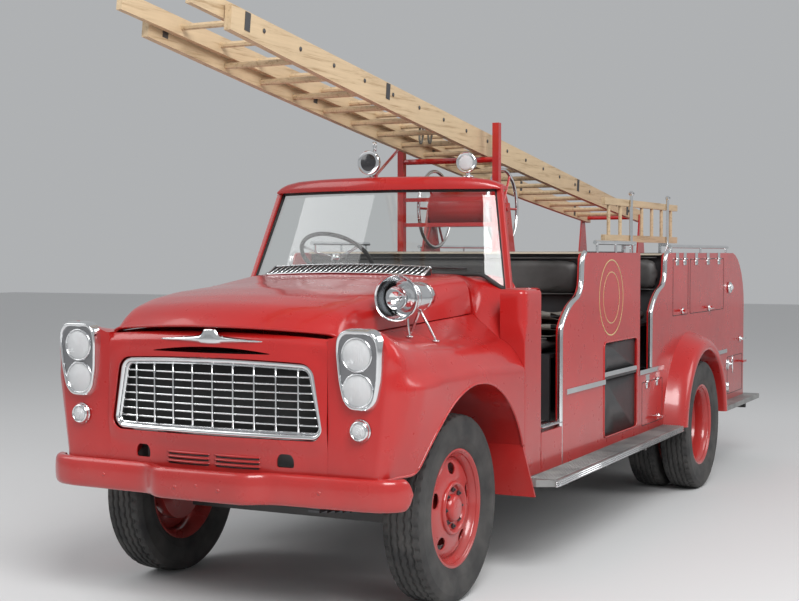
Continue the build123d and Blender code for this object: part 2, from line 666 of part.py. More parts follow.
def bowed_band(half, end_y, bow, z, thick, setback):
    """Plan outline of a bowed strip, its front arc set back from the glass line."""
    side_y = end_y + setback
    front = arc_points((-half, side_y), (0, side_y - bow), (half, side_y), CROWN_STEPS)
    return [(x, y, z) for x, y in front] + [(x, y + thick, z) for x, y in reversed(front)]


def header_section(x, top):
    """Section of the header across the vehicle at x: an upright face rolled back into the top."""
    front = SCREEN_HIGH[1] - 25 - BOW_HIGH * (1 - (x / HEADER_TOPS[0][0]) ** 2)
    rear = front + HEADER_DEPTH
    rise = top - header_z
    points = ((front + 8, 0), (front, 0.2), (front + 6, 0.65), (front + 32, 1), (rear, 0.93), (rear, 0))
    return [(x, y, header_z + rise * share) for y, share in points]


with BuildPart() as glass:
    add(skinned([bowed_band(half - PILLAR / 2 - 2, y, bow, z, GLASS_T, 12)
                 for (half, y, z), bow in ((SCREEN_LOW, BOW_LOW), (SCREEN_HIGH, BOW_HIGH))]))
    add(cowl_fill.part, mode=Mode.SUBTRACT)
save(glass, "windscreen_glass")

with BuildPart() as screen_frame:
    add(skinned([header_section(x, z) for x, z in HEADER_TOPS]
                + [header_section(-x, z) for x, z in reversed(HEADER_TOPS[:-1])]))
    for s in (-1, 1):
        for half, y, z in (SCREEN_LOW, (SCREEN_HIGH[0], SCREEN_HIGH[1], SCREEN_HIGH[2] + 20)):
            with BuildSketch(Plane.XY.offset(z)):
                with Locations((s * half, y + 14)):
                    Rectangle(PILLAR, PILLAR)
        loft(ruled=True)
    add(cowl_fill.part, mode=Mode.SUBTRACT)
save(screen_frame, "windscreen_frame")

# Steering column and wheel on the offside
WHEEL_X = -440
COLUMN_RAKE = 40
STEER_HUB = (WHEEL_X, fa + 1170, 1690)
STEER_R = 225
column_axis = Vector(0, sin(radians(COLUMN_RAKE)), cos(radians(COLUMN_RAKE)))
steer_plane = Plane(origin=STEER_HUB, x_dir=(1, 0, 0), z_dir=column_axis)
RIM_TUBE = ((-12, STEER_R - 5), (-12, STEER_R + 5), (0, STEER_R + 13), (12, STEER_R + 5), (12, STEER_R - 5),
            (0, STEER_R - 13))
with BuildPart() as steering_wheel:
    add(steer_plane.location * Rot(0, -90, 0) * turned(RIM_TUBE, 20))
    with BuildSketch(steer_plane.offset(-20)):
        RegularPolygon(32, 12)
    extrude(amount=35)
    with BuildSketch(steer_plane.offset(-6)):
        with PolarLocations(0, 3, start_angle=90):
            with Locations((STEER_R / 2, 0)):
                Rectangle(STEER_R, 22)
    extrude(amount=12)
save(steering_wheel, "steering_wheel")

dash_run = (STEER_HUB[1] - scuttle_rear_y + SHEET / 2) / sin(radians(COLUMN_RAKE))
column_run = (STEER_HUB[1] - scuttle_front_y - SHEET) / sin(radians(COLUMN_RAKE)) - 30
column_foot = Vector(*STEER_HUB) - column_axis * column_run
column_head = Vector(*STEER_HUB) - column_axis * 21
with BuildPart() as steering_column:
    pin(tuple(column_foot), tuple(column_head), 22)
    block(WHEEL_X - 30, WHEEL_X + 30, scuttle_rear_y - SHEET, scuttle_rear_y,
          STEER_HUB[2] - dash_run * cos(radians(COLUMN_RAKE)), DASH_Z)
    block(WHEEL_X - 40, WHEEL_X + 40, scuttle_front_y + SHEET, scuttle_front_y + SHEET + 40,
          column_foot.Z - 40, column_foot.Z + 40)
save(steering_column, "steering_column")

# Cab floor and the crew floor behind it
CREW_FLOOR = 940
REEL_DECK = 1730
deck_front_y = fa + 1800
deck_rear_y = fa + 2420
inner_x = BODY_X - SKIN - SEAT_GAP
crew_back_y = fa + 3420
STEP_OPENING = (fa + 1922, fa + 2595, 590, 1175)  # y0, y1, z0, z1 in the body side
STEP_RECESS = (640, fa + 1905, fa + 2612, 560, 1195)  # inner x, y0, y1, z0, z1
RECESS_T = 15
STEP_SHELF_Z = (945, 985)
with BuildPart() as floor:
    block(-COWL_HALF + 1, COWL_HALF - 1, scuttle_front_y, scuttle_front_y + 40, RAIL_TOP, FLOOR_TOP)
    block(-inner_x, inner_x, scuttle_front_y + SHEET + SEAT_GAP, body_rear_y - 40, RAIL_TOP, FLOOR_TOP)
    well = (ra - ARCH_REAR_R - 10, ra + ARCH_REAR_R + 10)
    block(-1150, 1150, *well, RAIL_TOP - 5, FLOOR_TOP + 5, mode=Mode.SUBTRACT)
    block(-600, 600, *well, RAIL_TOP, FLOOR_TOP)
    recess_x, y0, y1, z0, z1 = STEP_RECESS
    for s in (-1, 1):
        block(*sorted((s * (recess_x - SEAT_GAP), s * (inner_x + 1))), y0 - SEAT_GAP, y1 + SEAT_GAP, z0, z1,
              mode=Mode.SUBTRACT)
save(floor, "body_floor")

CUSHION_FRONT = (fa + 1230, fa + 1700)
CUSHION_REAR = (fa + 2935, crew_back_y - 50)
CUSHION_T = 95
SEAT_FRONT_Z = 1140
SEAT_REAR_Z = 1240
SEAT_X = 900
BACK_T = 70
BACK_H = 265
with BuildPart() as bulkheads:
    # front seat box and the wall behind it, which carries the reel deck
    block(-SEAT_X, SEAT_X, CUSHION_FRONT[0] + 20, CUSHION_FRONT[0] + 40, FLOOR_TOP, SEAT_FRONT_Z)
    block(-SEAT_X, SEAT_X, CUSHION_FRONT[0] + 20, deck_front_y - 40, SEAT_FRONT_Z - 20, SEAT_FRONT_Z)
    block(-inner_x, inner_x, deck_front_y - 40, deck_front_y, FLOOR_TOP, REEL_DECK)
    block(-inner_x, inner_x, deck_front_y, deck_rear_y, REEL_DECK - 20, REEL_DECK)
    block(-inner_x, inner_x, deck_rear_y - 20, deck_rear_y, FLOOR_TOP, REEL_DECK)
    block(-inner_x, inner_x, deck_rear_y - 20, crew_back_y, CREW_FLOOR - 20, CREW_FLOOR)
    block(-SEAT_X, SEAT_X, CUSHION_REAR[0] + 20, CUSHION_REAR[0] + 40, CREW_FLOOR, SEAT_REAR_Z)
    block(-SEAT_X, SEAT_X, CUSHION_REAR[0] + 20, crew_back_y, SEAT_REAR_Z - 20, SEAT_REAR_Z)
    block(-inner_x, inner_x, crew_back_y, crew_back_y + 20, FLOOR_TOP, SIDE_TOP)
    # step recess in each side, with its shelf
    for s in (-1, 1):
        block(*sorted((s * recess_x, s * inner_x)), y0, y1, z0, z1)
        block(*sorted((s * (recess_x + RECESS_T), s * (inner_x + 1))), y0 + RECESS_T, y1 - RECESS_T,
              z0 + RECESS_T, z1 - RECESS_T, mode=Mode.SUBTRACT)
        block(*sorted((s * (recess_x + 5), s * inner_x)), y0 + 5, y1 - 5, *STEP_SHELF_Z)
        block(*sorted((s * (inner_x - 5), s * BODY_X)), STEP_OPENING[0] + 2, STEP_OPENING[1] - 2, *STEP_SHELF_Z)
save(bulkheads, "bulkheads")

with BuildPart() as seats:
    for (y0, y1), z in ((CUSHION_FRONT, SEAT_FRONT_Z), (CUSHION_REAR, SEAT_REAR_Z)):
        block(-SEAT_X + 5, SEAT_X - 5, y0, y1, z + SEAT_GAP, z + CUSHION_T)
    for wall_y, z in ((deck_front_y - 40, 1450), (crew_back_y, 1440)):
        back_y = wall_y - SEAT_GAP
        block(-SEAT_X - 45, SEAT_X + 45, back_y - BACK_T, back_y, z, z + BACK_H)
save(seats, "seats")

# Body sides: double-skinned, with swept front edges, step opening and arch
EDGE_LOW = 1297
FLAPS = (  # name, y0, y1, z0, z1, edge that carries the hinge
    ("flap_narrow", fa + 3445, fa + 3852, 1275, 1680, "top"),
    ("flap_wide", fa + 3905, fa + 4930, 1275, 1680, "top"),
    ("flap_low", fa + 2712, fa + 3190, 575, 865, "top"),
    ("door_small", fa + 5070, fa + 5590, 575, 880, "front"),
)


def swept_edge(y, z0, z1, z_top, turn):
    """Front edge of a side panel: upright, swept back, then up into the top."""
    knee = (y + turn * 0.62, z1 + 160)
    neck = (y + turn * 0.86, z1 + 290)
    sweep = arc_points((y, z1), (y + turn * 0.25, z1 + 95), knee, 5)
    rise = arc_points(knee, (y + turn * 0.80, z1 + 205), neck, 3)
    crest = arc_points((y + turn * 0.88, z_top - 45), (y + turn * 0.92, z_top - 12), (y + turn, z_top), 3)
    return [(y, z0)] + sweep + rise[1:] + crest


with BuildPart() as side_front:
    with BuildSketch(Plane.YZ.offset(BODY_X - SKIN)):
        with BuildLine():
            edge = swept_edge(side_front_y, BOARD_TOP, EDGE_LOW, SIDE_TOP, 410)
            Polyline(*edge, (side_mid_y - 2, SIDE_TOP), (side_mid_y - 2, BOARD_TOP), close=True)
        make_face()
        with BuildLine():
            Polyline((STEP_OPENING[0], STEP_OPENING[2]), (STEP_OPENING[1], STEP_OPENING[2]),
                     (STEP_OPENING[1], STEP_OPENING[3]), (STEP_OPENING[0], STEP_OPENING[3]), close=True)
        make_face(mode=Mode.SUBTRACT)
        with Locations(((scuttle_rear_y + side_front_y) / 2, (BOARD_TOP + FLOOR_TOP - 20) / 2)):
            Rectangle(side_front_y - scuttle_rear_y, FLOOR_TOP - 20 - BOARD_TOP)
    extrude(amount=SKIN)

with BuildPart() as side_rear:
    with BuildSketch(Plane.YZ.offset(BODY_X - SKIN)):
        with BuildLine():
            edge = swept_edge(side_rear_y, BELT_Z, EDGE_LOW + 28, SIDE_TOP, 395)
            corner = arc_points((body_rear_y - 400, SIDE_TOP), (body_rear_y - 125, SIDE_TOP - 130),
                                (body_rear_y, SIDE_TOP - 520), 8)
            Polyline(*edge, *corner, (body_rear_y, BOARD_TOP), (side_mid_y, BOARD_TOP), (side_mid_y, BELT_Z),
                     close=True)
        make_face()
        with Locations((ra, axle_z)):
            RegularPolygon(ARCH_REAR_R / cos(pi / ARCH_SIDES), ARCH_SIDES, mode=Mode.SUBTRACT)
        for _, y0, y1, z0, z1, _ in FLAPS:
            with Locations(((y0 + y1) / 2, (z0 + z1) / 2)):
                Rectangle(y1 - y0, z1 - z0, mode=Mode.SUBTRACT)
    extrude(amount=SKIN)
side_pairs = []
for panel in (side_front, side_rear):
    with BuildPart() as side_pair:
        add(panel.part)
        mirror(about=Plane.YZ)
    side_pairs.append(side_pair)
with BuildPart() as body_sides:
    for side_pair in side_pairs:
        add(side_pair.part)
save(body_sides, "body_sides")

# Locker boxes behind the flaps, open toward the sides
LOCKER_T = 15
LOCKERS = (  # y0, y1, z0, z1, inner x
    (fa + 3442, fa + 4935, 1255, 1700, 620),
    (fa + 2700, fa + 3200, 545, 730, 620),
    (fa + 5050, fa + 5595, 560, 730, 620),
)
with BuildPart() as lockers:
    for y0, y1, z0, z1, x0 in LOCKERS:
        block(x0, inner_x, y0, y1, z0, z1)
        block(x0 + LOCKER_T, inner_x + 1, y0 + LOCKER_T, y1 - LOCKER_T, z0 + LOCKER_T, z1 - LOCKER_T,
              mode=Mode.SUBTRACT)
    block(620, inner_x, fa + 3862, fa + 3895, 1255, 1700)
    mirror(about=Plane.YZ)
save(lockers, "lockers")

# Water tank between the lockers, a plain closed block
with BuildPart() as tank:
    block(-600, 600, crew_back_y + 40, fa + 5100, FLOOR_TOP, 1600)
save(tank, "water_tank")

# Rear panel and the deck over the tank
DECK_TOP = 1625
STAND_STEP = 5  # the ladder stands on a lower strip of the deck
stand_front_y = fa + 4960
with BuildPart() as deck:
    block(-inner_x, inner_x, body_rear_y - 40, body_rear_y, BOARD_TOP, SIDE_TOP - 140)
    block(-600, 600, crew_back_y + 20, stand_front_y, 1600, DECK_TOP)
    block(-600, 600, stand_front_y, body_rear_y - 40, 1600, DECK_TOP - STAND_STEP)
    for s in (-1, 1):
        x0, x1 = sorted((s * 600, s * inner_x))
        block(x0, x1, crew_back_y + 20, body_rear_y - 420, 1700, 1715)
        block(*sorted((s * 600, s * 585)), crew_back_y + 20, body_rear_y - 420, 1600, 1715)
save(deck, "body_deck")

# Flared rear arches
FLARE_X = 1150
FLARE_R = 620
with BuildPart() as arches:
    add(Pos(0, ra, axle_z) * turned(((BODY_X, FLARE_R + 60), (FLARE_X, FLARE_R - 20), (FLARE_X, ARCH_REAR_R),
                                     (BODY_X, ARCH_REAR_R)), ARCH_SIDES))
    block(BODY_X - 5, FLARE_X + 5, ra - 800, ra + 800, -400, BOARD_TOP - 20, mode=Mode.SUBTRACT)
    mirror(about=Plane.YZ)
save(arches, "rear_arches")

# Running boards and the boards behind the rear wheels
BOARD_X = (1180, 1147)  # front and rear end of the running board
board_rear_y = ra - FLARE_R - 62
step_front_y = ra + FLARE_R + 62
with BuildPart() as boards:
    with BuildSketch(Plane.XY.offset(BOARD_TOP - BOARD_T)):
        with BuildLine():
            Polyline((940, board_front_y), (1070, board_front_y), (BOARD_X[0], board_front_y + 60),
                     (BOARD_X[1], board_rear_y), (940, board_rear_y), close=True)
        make_face()
        with BuildLine():
            Polyline((940, step_front_y), (1118, step_front_y), (1118, tail_y), (0, tail_y),
                     (0, body_rear_y - 60), (940, body_rear_y - 60), close=True)
        make_face()
    extrude(amount=BOARD_T)
    mirror(about=Plane.YZ)
save(boards, "running_boards")

# Flaps and the small door: flush lids hinged on the body side
FLAP_T = 22
LEAF = 4
BARREL_R = 7
HINGE_HALF = 40


def hinge_places(y0, y1, z0, z1, edge):
    """Centres of the hinges along the seam that carries them."""
    if edge == "top":
        count = 2 if y1 - y0 < 600 else 3
        return [(y0 + (y1 - y0) * (i + 0.5) / count, z1) for i in range(count)]
    return [(y0, z0 + 60), (y0, z1 - 60)]


for flap, y0, y1, z0, z1, edge in FLAPS:
    for name, s in SIDES:
        with BuildPart() as lid:
            block(BODY_X - FLAP_T, BODY_X, y0 + GAP, y1 - GAP, z0 + GAP, z1 - GAP)
            handle_y = y1 - 60 if edge == "front" else (y0 + y1) / 2 + 40
            handle_z = (z0 + z1) / 2 + 90 if edge == "front" else z0 + 32
            block(BODY_X, BODY_X + 28, handle_y - 6, handle_y + 6, handle_z - 8, handle_z + 8)
            block(BODY_X + 28, BODY_X + 40, handle_y - 60, handle_y + 60, handle_z - 8, handle_z + 8)
            for y, z in hinge_places(y0, y1, z0, z1, edge):
                x = BODY_X + BARREL_R
                if edge == "top":
                    rod((x, y - HINGE_HALF, z), (x, y + HINGE_HALF, z), BARREL_R, 6)
                    block(BODY_X, BODY_X + LEAF, y - HINGE_HALF, y + HINGE_HALF, z - 45, z - 4)
                else:
                    rod((x, y, z - HINGE_HALF), (x, y, z + HINGE_HALF), BARREL_R, 6)
                    block(BODY_X, BODY_X + LEAF, y + 4, y + 45, z - HINGE_HALF, z + HINGE_HALF)
            if s < 0:
                mirror(about=Plane.YZ, mode=Mode.REPLACE)
        save(lid, flap + "_" + name)

# Chrome and aluminium on the body sides: rub strips and grab rails
STRIP_T = 12
with BuildPart() as strips:
    for y0, y1 in ((side_front_y + 45, STEP_OPENING[0]), (side_mid_y - 30, ra - FLARE_R - 90),
                   (ra + FLARE_R + 80, fa + 5020)):
        block(BODY_X + SEAT_GAP, BODY_X + STRIP_T, y0, y1, BELT_Z - 15, BELT_Z + 15)
    for _, y0, y1, z0, z1, edge in FLAPS:
        for y, z in hinge_places(y0, y1, z0, z1, edge):
            if edge == "top":
                block(BODY_X + SEAT_GAP, BODY_X + LEAF, y - HINGE_HALF, y + HINGE_HALF, z + 6.8, z + 45)
            else:
                block(BODY_X + SEAT_GAP, BODY_X + LEAF, y - 45, y - 6.8, z - HINGE_HALF, z + HINGE_HALF)
    mirror(about=Plane.YZ)

RAIL_TUBE_R = 14
TOP_RAILS = (  # x, y0, y1, z
    (BODY_X - SKIN / 2, fa + 1800, side_mid_y - 60, 1785),
    (BODY_X - SKIN / 2, side_rear_y + 480, fa + 5120, 1770),
)
with BuildPart() as rails:
    for x, y0, y1, z in TOP_RAILS:
        rod((x, y0, z), (x, y1, z), RAIL_TUBE_R)
        for y in (y0 + 40, (y0 + y1) / 2, y1 - 40):
            rod((x, y, SIDE_TOP), (x, y, z), 9)
    mirror(about=Plane.YZ)
with BuildPart() as fittings:
    add(strips.part)
    add(rails.part)
save(fittings, "body_fittings")

# Ladder: two sections of timber, nested, pivoted at the heel
LADDER_TILT = 6.9
HEEL = (0, fa + 5130, 2020)
PIVOT_PIN_R = 15
BED_HALF = 225
BED_T = 36
FLY_HALF = 185
FLY_T = 30
BED_LENGTH = 6180
BED_TOP = 62  # top edge above the heel pin
FLY_START = 2250  # heel end of the fly from the heel pin
RUNG_PITCH = 330
RUNG_R = 16
tilt = radians(LADDER_TILT)
tip_run = (HEEL[1] - (fa - TIP_AHEAD)) / cos(tilt)
# local frame: X along the ladder from the heel toward the tip, Y up
ladder_plane = Plane(origin=HEEL, x_dir=(0, -cos(tilt), sin(tilt)), z_dir=(-1, 0, 0))


def rung(along, up, half):
    """A round rung between the two strings."""
    with BuildSketch(ladder_plane.offset(-half)) as end_face:
        with Locations((along, up)):
            RegularPolygon(RUNG_R, 8)
    extrude(end_face.sketch, amount=2 * half)


BED_DEPTH = (92, 145, 116)  # heel, middle, tip
with BuildPart() as bed:
    for s in (-1, 1):
        with BuildSketch(ladder_plane.offset(s * BED_HALF - BED_T / 2)):
            with BuildLine():
                Polyline((-70, BED_TOP - BED_DEPTH[0]), (-70, BED_TOP), (BED_LENGTH, BED_TOP),
                         (BED_LENGTH, BED_TOP - BED_DEPTH[2]))
                ThreePointArc((BED_LENGTH, BED_TOP - BED_DEPTH[2]), (BED_LENGTH * 0.55, BED_TOP - BED_DEPTH[1]),
                              (-70, BED_TOP - BED_DEPTH[0]))
            make_face()
            RegularPolygon((PIVOT_PIN_R + 0.3) / cos(pi / BUSH_SIDES), BUSH_SIDES, mode=Mode.SUBTRACT)
        extrude(amount=BED_T)
    count = int((BED_LENGTH - 300) / RUNG_PITCH)
    for i in range(count):
        along = 260 + RUNG_PITCH * i
        t = along / BED_LENGTH
        depth = BED_DEPTH[0] + (4 * BED_DEPTH[1] - 3 * BED_DEPTH[0] - BED_DEPTH[2]) * t
        depth += (2 * BED_DEPTH[0] + 2 * BED_DEPTH[2] - 4 * BED_DEPTH[1]) * t * t
        rung(along, BED_TOP - depth + 30, BED_HALF - BED_T / 2 + 6)
save(bed, "ladder_bed")

FLY_UP = (BED_TOP - 62, BED_TOP + 22)
fly_length = tip_run - FLY_START
with BuildPart() as fly:
    for s in (-1, 1):
        with BuildSketch(ladder_plane.offset(s * FLY_HALF - FLY_T / 2)):
            with Locations((FLY_START + fly_length / 2, (FLY_UP[0] + FLY_UP[1]) / 2)):
                Rectangle(fly_length, FLY_UP[1] - FLY_UP[0])
        extrude(amount=FLY_T)
        outer = FLY_HALF + FLY_T / 2
        runner = BED_HALF - BED_T / 2 - outer - SEAT_GAP
        with BuildSketch(ladder_plane.offset(outer if s > 0 else -outer - runner)):
            with Locations((FLY_START + 120, BED_TOP - 30), (FLY_START + 1500, BED_TOP - 30)):
                Rectangle(160, 30)
        extrude(amount=runner)
    for i in range(int(fly_length / RUNG_PITCH)):
        rung(FLY_START + 90 + RUNG_PITCH * i, (FLY_UP[0] + FLY_UP[1]) / 2, FLY_HALF - FLY_T / 2 + 6)
save(fly, "ladder_fly")

# Pivot stand under the heel of the ladder
STAND_X = BED_HALF + BED_T / 2 + 4
with BuildPart() as pivot_stand:
    for s in (-1, 1):
        x0, x1 = sorted((s * STAND_X, s * (STAND_X + 12)))
        with BuildSketch(Plane.YZ.offset(x0)):
            with BuildLine():
                Polyline((HEEL[1] - 120, DECK_TOP - STAND_STEP), (HEEL[1] + 120, DECK_TOP - STAND_STEP),
                         (HEEL[1] + 30, HEEL[2] + 25),
                         (HEEL[1] - 30, HEEL[2] + 25), close=True)
            make_face()
        extrude(amount=x1 - x0)
    pin((-STAND_X - 20, HEEL[1], HEEL[2]), (STAND_X + 20, HEEL[1], HEEL[2]), PIVOT_PIN_R)

# Gantry behind the cab: two square posts and the crossbar under the ladder
POST_X = 330
POST = 42
gantry_y = deck_front_y + 30
POST_TOP = 2530
ladder_under = HEEL[2] + (HEEL[1] - gantry_y) * tan(tilt) + (BED_TOP - 152) / cos(tilt)
with BuildPart() as gantry:
    for s in (-1, 1):
        block(s * POST_X - POST / 2, s * POST_X + POST / 2, gantry_y - POST / 2, gantry_y + POST / 2,
              REEL_DECK, POST_TOP)
    bar_x = POST_X - POST / 2 - SEAT_GAP
    rod((-bar_x, gantry_y, ladder_under - 25), (bar_x, gantry_y, ladder_under - 25), 18)
    for z in (1900, 2060):
        block(-bar_x, bar_x, gantry_y - 12, gantry_y + 12, z - 12, z + 12)
brace_end_y = gantry_y - POST / 2 - SEAT_GAP
with BuildPart() as brace:
    rod((-38, fa + 905, HEADER_TOP + 11), (-POST_X, brace_end_y - 10, 2395), 9)
    block(-50, -26, fa + 886, fa + 912, HEADER_TOP - 6, HEADER_TOP + 14)
    block(-POST_X - 12, -POST_X + 12, brace_end_y - 20, brace_end_y, 2383, 2407)
    add(screen_frame.part, mode=Mode.SUBTRACT)

# Hose reel: hoop flanges on a drum, between two bearing stands
REEL_AT = (0, fa + 2140, 2010)
REEL_R = 262
REEL_HALF = 240
REEL_SIDES = 20
REEL_PIN_R = 16
with BuildPart() as reel:
    rod((-REEL_HALF, REEL_AT[1], REEL_AT[2]), (REEL_HALF, REEL_AT[1], REEL_AT[2]), 120, 16)
    for s in (-1, 1):
        with BuildSketch(Plane.YZ.offset(s * REEL_HALF - 6)):
            with Locations((REEL_AT[1], REEL_AT[2])):
                RegularPolygon(REEL_R, REEL_SIDES)
                RegularPolygon(REEL_R - 26, REEL_SIDES, mode=Mode.SUBTRACT)
                with PolarLocations(0, 6):
                    with Locations((REEL_R / 2, 0)):
                        Rectangle(REEL_R - 16, 26)
        extrude(amount=12)
    pin((-REEL_HALF - 46, REEL_AT[1], REEL_AT[2]), (REEL_HALF + 46, REEL_AT[1], REEL_AT[2]), REEL_PIN_R)
save(reel, "hose_reel")
with BuildPart() as reel_stand:
    for s in (-1, 1):
        x0, x1 = sorted((s * (REEL_HALF + 22), s * (REEL_HALF + 38)))
        with BuildSketch(Plane.YZ.offset(x0)):
            with BuildLine():
                Polyline((REEL_AT[1] - 130, REEL_DECK), (REEL_AT[1] + 130, REEL_DECK),
                         (REEL_AT[1] + 35, REEL_AT[2] + 35), (REEL_AT[1] - 35, REEL_AT[2] + 35), close=True)
            make_face()
            with Locations((REEL_AT[1], REEL_AT[2])):
                RegularPolygon((REEL_PIN_R + 0.3) / cos(pi / BUSH_SIDES), BUSH_SIDES, mode=Mode.SUBTRACT)
        extrude(amount=x1 - x0)
with BuildPart() as supports:
    for piece in (pivot_stand, gantry, brace, reel_stand):
        add(piece.part)
save(supports, "ladder_supports")

# Short ladder stowed on edge, with its uprights
SIDE_LADDER_X = 650
SIDE_LADDER_Y = (fa + 2950, fa + 4780)
SIDE_LADDER_Z = (1825, 2080)
with BuildPart() as side_ladder:
    for z in SIDE_LADDER_Z:
        block(SIDE_LADDER_X - 14, SIDE_LADDER_X + 14, *SIDE_LADDER_Y, z - 24, z + 24)
    for i in range(7):
        y = SIDE_LADDER_Y[0] + 120 + 260 * i
        rod((SIDE_LADDER_X, y, SIDE_LADDER_Z[0]), (SIDE_LADDER_X, y, SIDE_LADDER_Z[1]), 13)
save(side_ladder, "side_ladder")
with BuildPart() as uprights:
    for y in (SIDE_LADDER_Y[0] + 560, SIDE_LADDER_Y[1] - 330):
        x = SIDE_LADDER_X + 14 + 12 + SEAT_GAP
        rod((x, y, 1715), (x, y, 2145), 12)
        add(Pos(x, y, 2150) * turned(((-18, 8), (-8, 18), (8, 18), (18, 8)), 8))
        block(SIDE_LADDER_X - 40, x, y - 20, y + 20, SIDE_LADDER_Z[0] - 50, SIDE_LADDER_Z[0] - 24 - SEAT_GAP)
        block(SIDE_LADDER_X - 40, SIDE_LADDER_X - 20, y - 20, y + 20, 1715, SIDE_LADDER_Z[0] - 50)
save(uprights, "ladder_uprights")

# Siren on the nearside wing
SIREN = (762, fa - 423, 1509)
SIREN_R = 110
SIREN_LENGTH = 480
SIREN_PROFILE = (  # back from the mouth, radius
    (0, SIREN_R - 38), (0, SIREN_R), (40, 98), (90, 70), (280, 62), (400, 42), (SIREN_LENGTH, 12),
    (SIREN_LENGTH, 0), (50, 0), (50, SIREN_R - 38))
with BuildPart() as siren:
    add(Pos(*SIREN) * Rot(0, 0, 90) * turned(SIREN_PROFILE, 20))
    with BuildSketch(Plane.XZ.offset(-(SIREN[1] + 300))):
        with BuildLine():
            Polyline((SIREN[0] - 26, 1280), (SIREN[0] + 26, 1280), (SIREN[0] + 9, SIREN[2] - 40),
                     (SIREN[0] - 9, SIREN[2] - 40), close=True)
        make_face()
    extrude(amount=-50)
    add(wings.part, mode=Mode.SUBTRACT)
save(siren, "siren")

# Lamps on the header: round warning lamp and spotlight
with BuildPart() as roof_lamps:
    for x, y, radius in ((-50, fa + 870, 68), (520, fa + 960, 58)):
        z = HEADER_TOP + 16 + radius
        with BuildSketch(Plane.XZ.offset(-(y - 30))):
            with Locations((x, z)):
                RegularPolygon(radius, LAMP_SIDES)
        extrude(amount=-60)
        rod((x, y, HEADER_TOP - 30), (x, y, z - radius + 4), 14)
    add(screen_frame.part, mode=Mode.SUBTRACT)
save(roof_lamps, "roof_lamps")
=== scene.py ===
"""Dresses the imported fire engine: finishes, pressings, lamps, wheels, trim, seats, floor and light.

Metres. The nose faces -Y, the vehicle's left side is +X, and the tyres stand on Z = 0.
"""

import json
import math

import bmesh
import bpy
import numpy as np
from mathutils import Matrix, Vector
from mathutils.geometry import delaunay_2d_cdt


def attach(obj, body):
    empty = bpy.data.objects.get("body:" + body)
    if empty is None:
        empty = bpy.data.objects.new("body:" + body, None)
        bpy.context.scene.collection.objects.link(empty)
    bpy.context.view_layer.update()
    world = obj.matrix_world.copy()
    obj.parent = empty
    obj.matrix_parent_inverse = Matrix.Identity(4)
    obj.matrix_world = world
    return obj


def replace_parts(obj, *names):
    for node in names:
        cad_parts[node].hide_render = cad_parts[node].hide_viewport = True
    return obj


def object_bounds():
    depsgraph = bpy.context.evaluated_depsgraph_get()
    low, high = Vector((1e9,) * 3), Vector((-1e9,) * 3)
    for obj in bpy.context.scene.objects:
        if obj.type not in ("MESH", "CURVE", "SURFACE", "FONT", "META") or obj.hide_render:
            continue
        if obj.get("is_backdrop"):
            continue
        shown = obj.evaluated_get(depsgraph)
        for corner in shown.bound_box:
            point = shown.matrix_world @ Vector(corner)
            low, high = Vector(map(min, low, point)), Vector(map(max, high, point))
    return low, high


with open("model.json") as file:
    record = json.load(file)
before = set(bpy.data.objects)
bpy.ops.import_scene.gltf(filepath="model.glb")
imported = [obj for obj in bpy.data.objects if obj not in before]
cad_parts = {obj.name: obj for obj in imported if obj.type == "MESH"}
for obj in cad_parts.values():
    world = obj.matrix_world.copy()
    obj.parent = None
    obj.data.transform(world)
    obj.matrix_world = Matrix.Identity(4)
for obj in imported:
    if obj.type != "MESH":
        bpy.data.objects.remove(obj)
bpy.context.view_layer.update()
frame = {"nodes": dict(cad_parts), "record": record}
nodes = frame["nodes"]
CHASSIS = "chassis"

# Camera at the photograph's viewpoint: ahead of the nose, off to the left side, at eye height
EYE = (3.697, -8.470, 1.714)
LOOK_DOWN = 1.95
LOOK_TURN = 26.66
LENS_MM = 62.84
SHIFT_UP = 0.0014

camera_data = bpy.data.cameras.new("photo_view")
camera_data.lens = LENS_MM
camera_data.sensor_width = 36.0
camera_data.shift_y = SHIFT_UP
camera_data.clip_end = 200.0
camera = bpy.data.objects.new("photo_view", camera_data)
camera.location = EYE
camera.rotation_euler = (math.radians(90 - LOOK_DOWN), 0, math.radians(LOOK_TURN))
bpy.context.scene.collection.objects.link(camera)
bpy.context.scene.camera = camera


# Material helpers
def new_material(name):
    """A node material, with its node tree and its shader."""
    material = bpy.data.materials.new(name)
    material.use_nodes = True
    tree = material.node_tree
    shader = tree.nodes["Principled BSDF"]
    return material, tree, shader


def node(tree, kind, **values):
    """A new node, with its sockets or settings set by name."""
    made = tree.nodes.new(kind)
    for key, value in values.items():
        if key in made.inputs:
            made.inputs[key].default_value = value
        else:
            setattr(made, key, value)
    return made


def object_coords(tree):
    """Object coordinates, which stay on the piece in every pose."""
    return tree.nodes.new("ShaderNodeTexCoord").outputs["Object"]


def noise(tree, scale, detail=4.0, where=None, stretch=None, roughness=0.5):
    """Noise on Object coordinates, stretched along the axes if asked."""
    where = where or object_coords(tree)
    if stretch:
        mapping = node(tree, "ShaderNodeMapping", Scale=stretch)
        tree.links.new(where, mapping.inputs["Vector"])
        where = mapping.outputs["Vector"]
    made = node(tree, "ShaderNodeTexNoise", Scale=scale, Detail=detail, Roughness=roughness)
    tree.links.new(where, made.inputs["Vector"])
    return made.outputs["Fac"]


def ramp(tree, source, stops):
    """Colour ramp on a value: (position, colour) stops."""
    made = tree.nodes.new("ShaderNodeValToRGB")
    elements = made.color_ramp.elements
    while len(elements) < len(stops):
        elements.new(0.5)
    for element, (position, colour) in zip(elements, stops):
        element.position = position
        element.color = (*colour, 1.0) if len(colour) == 3 else colour
    tree.links.new(source, made.inputs["Fac"])
    return made.outputs["Color"]


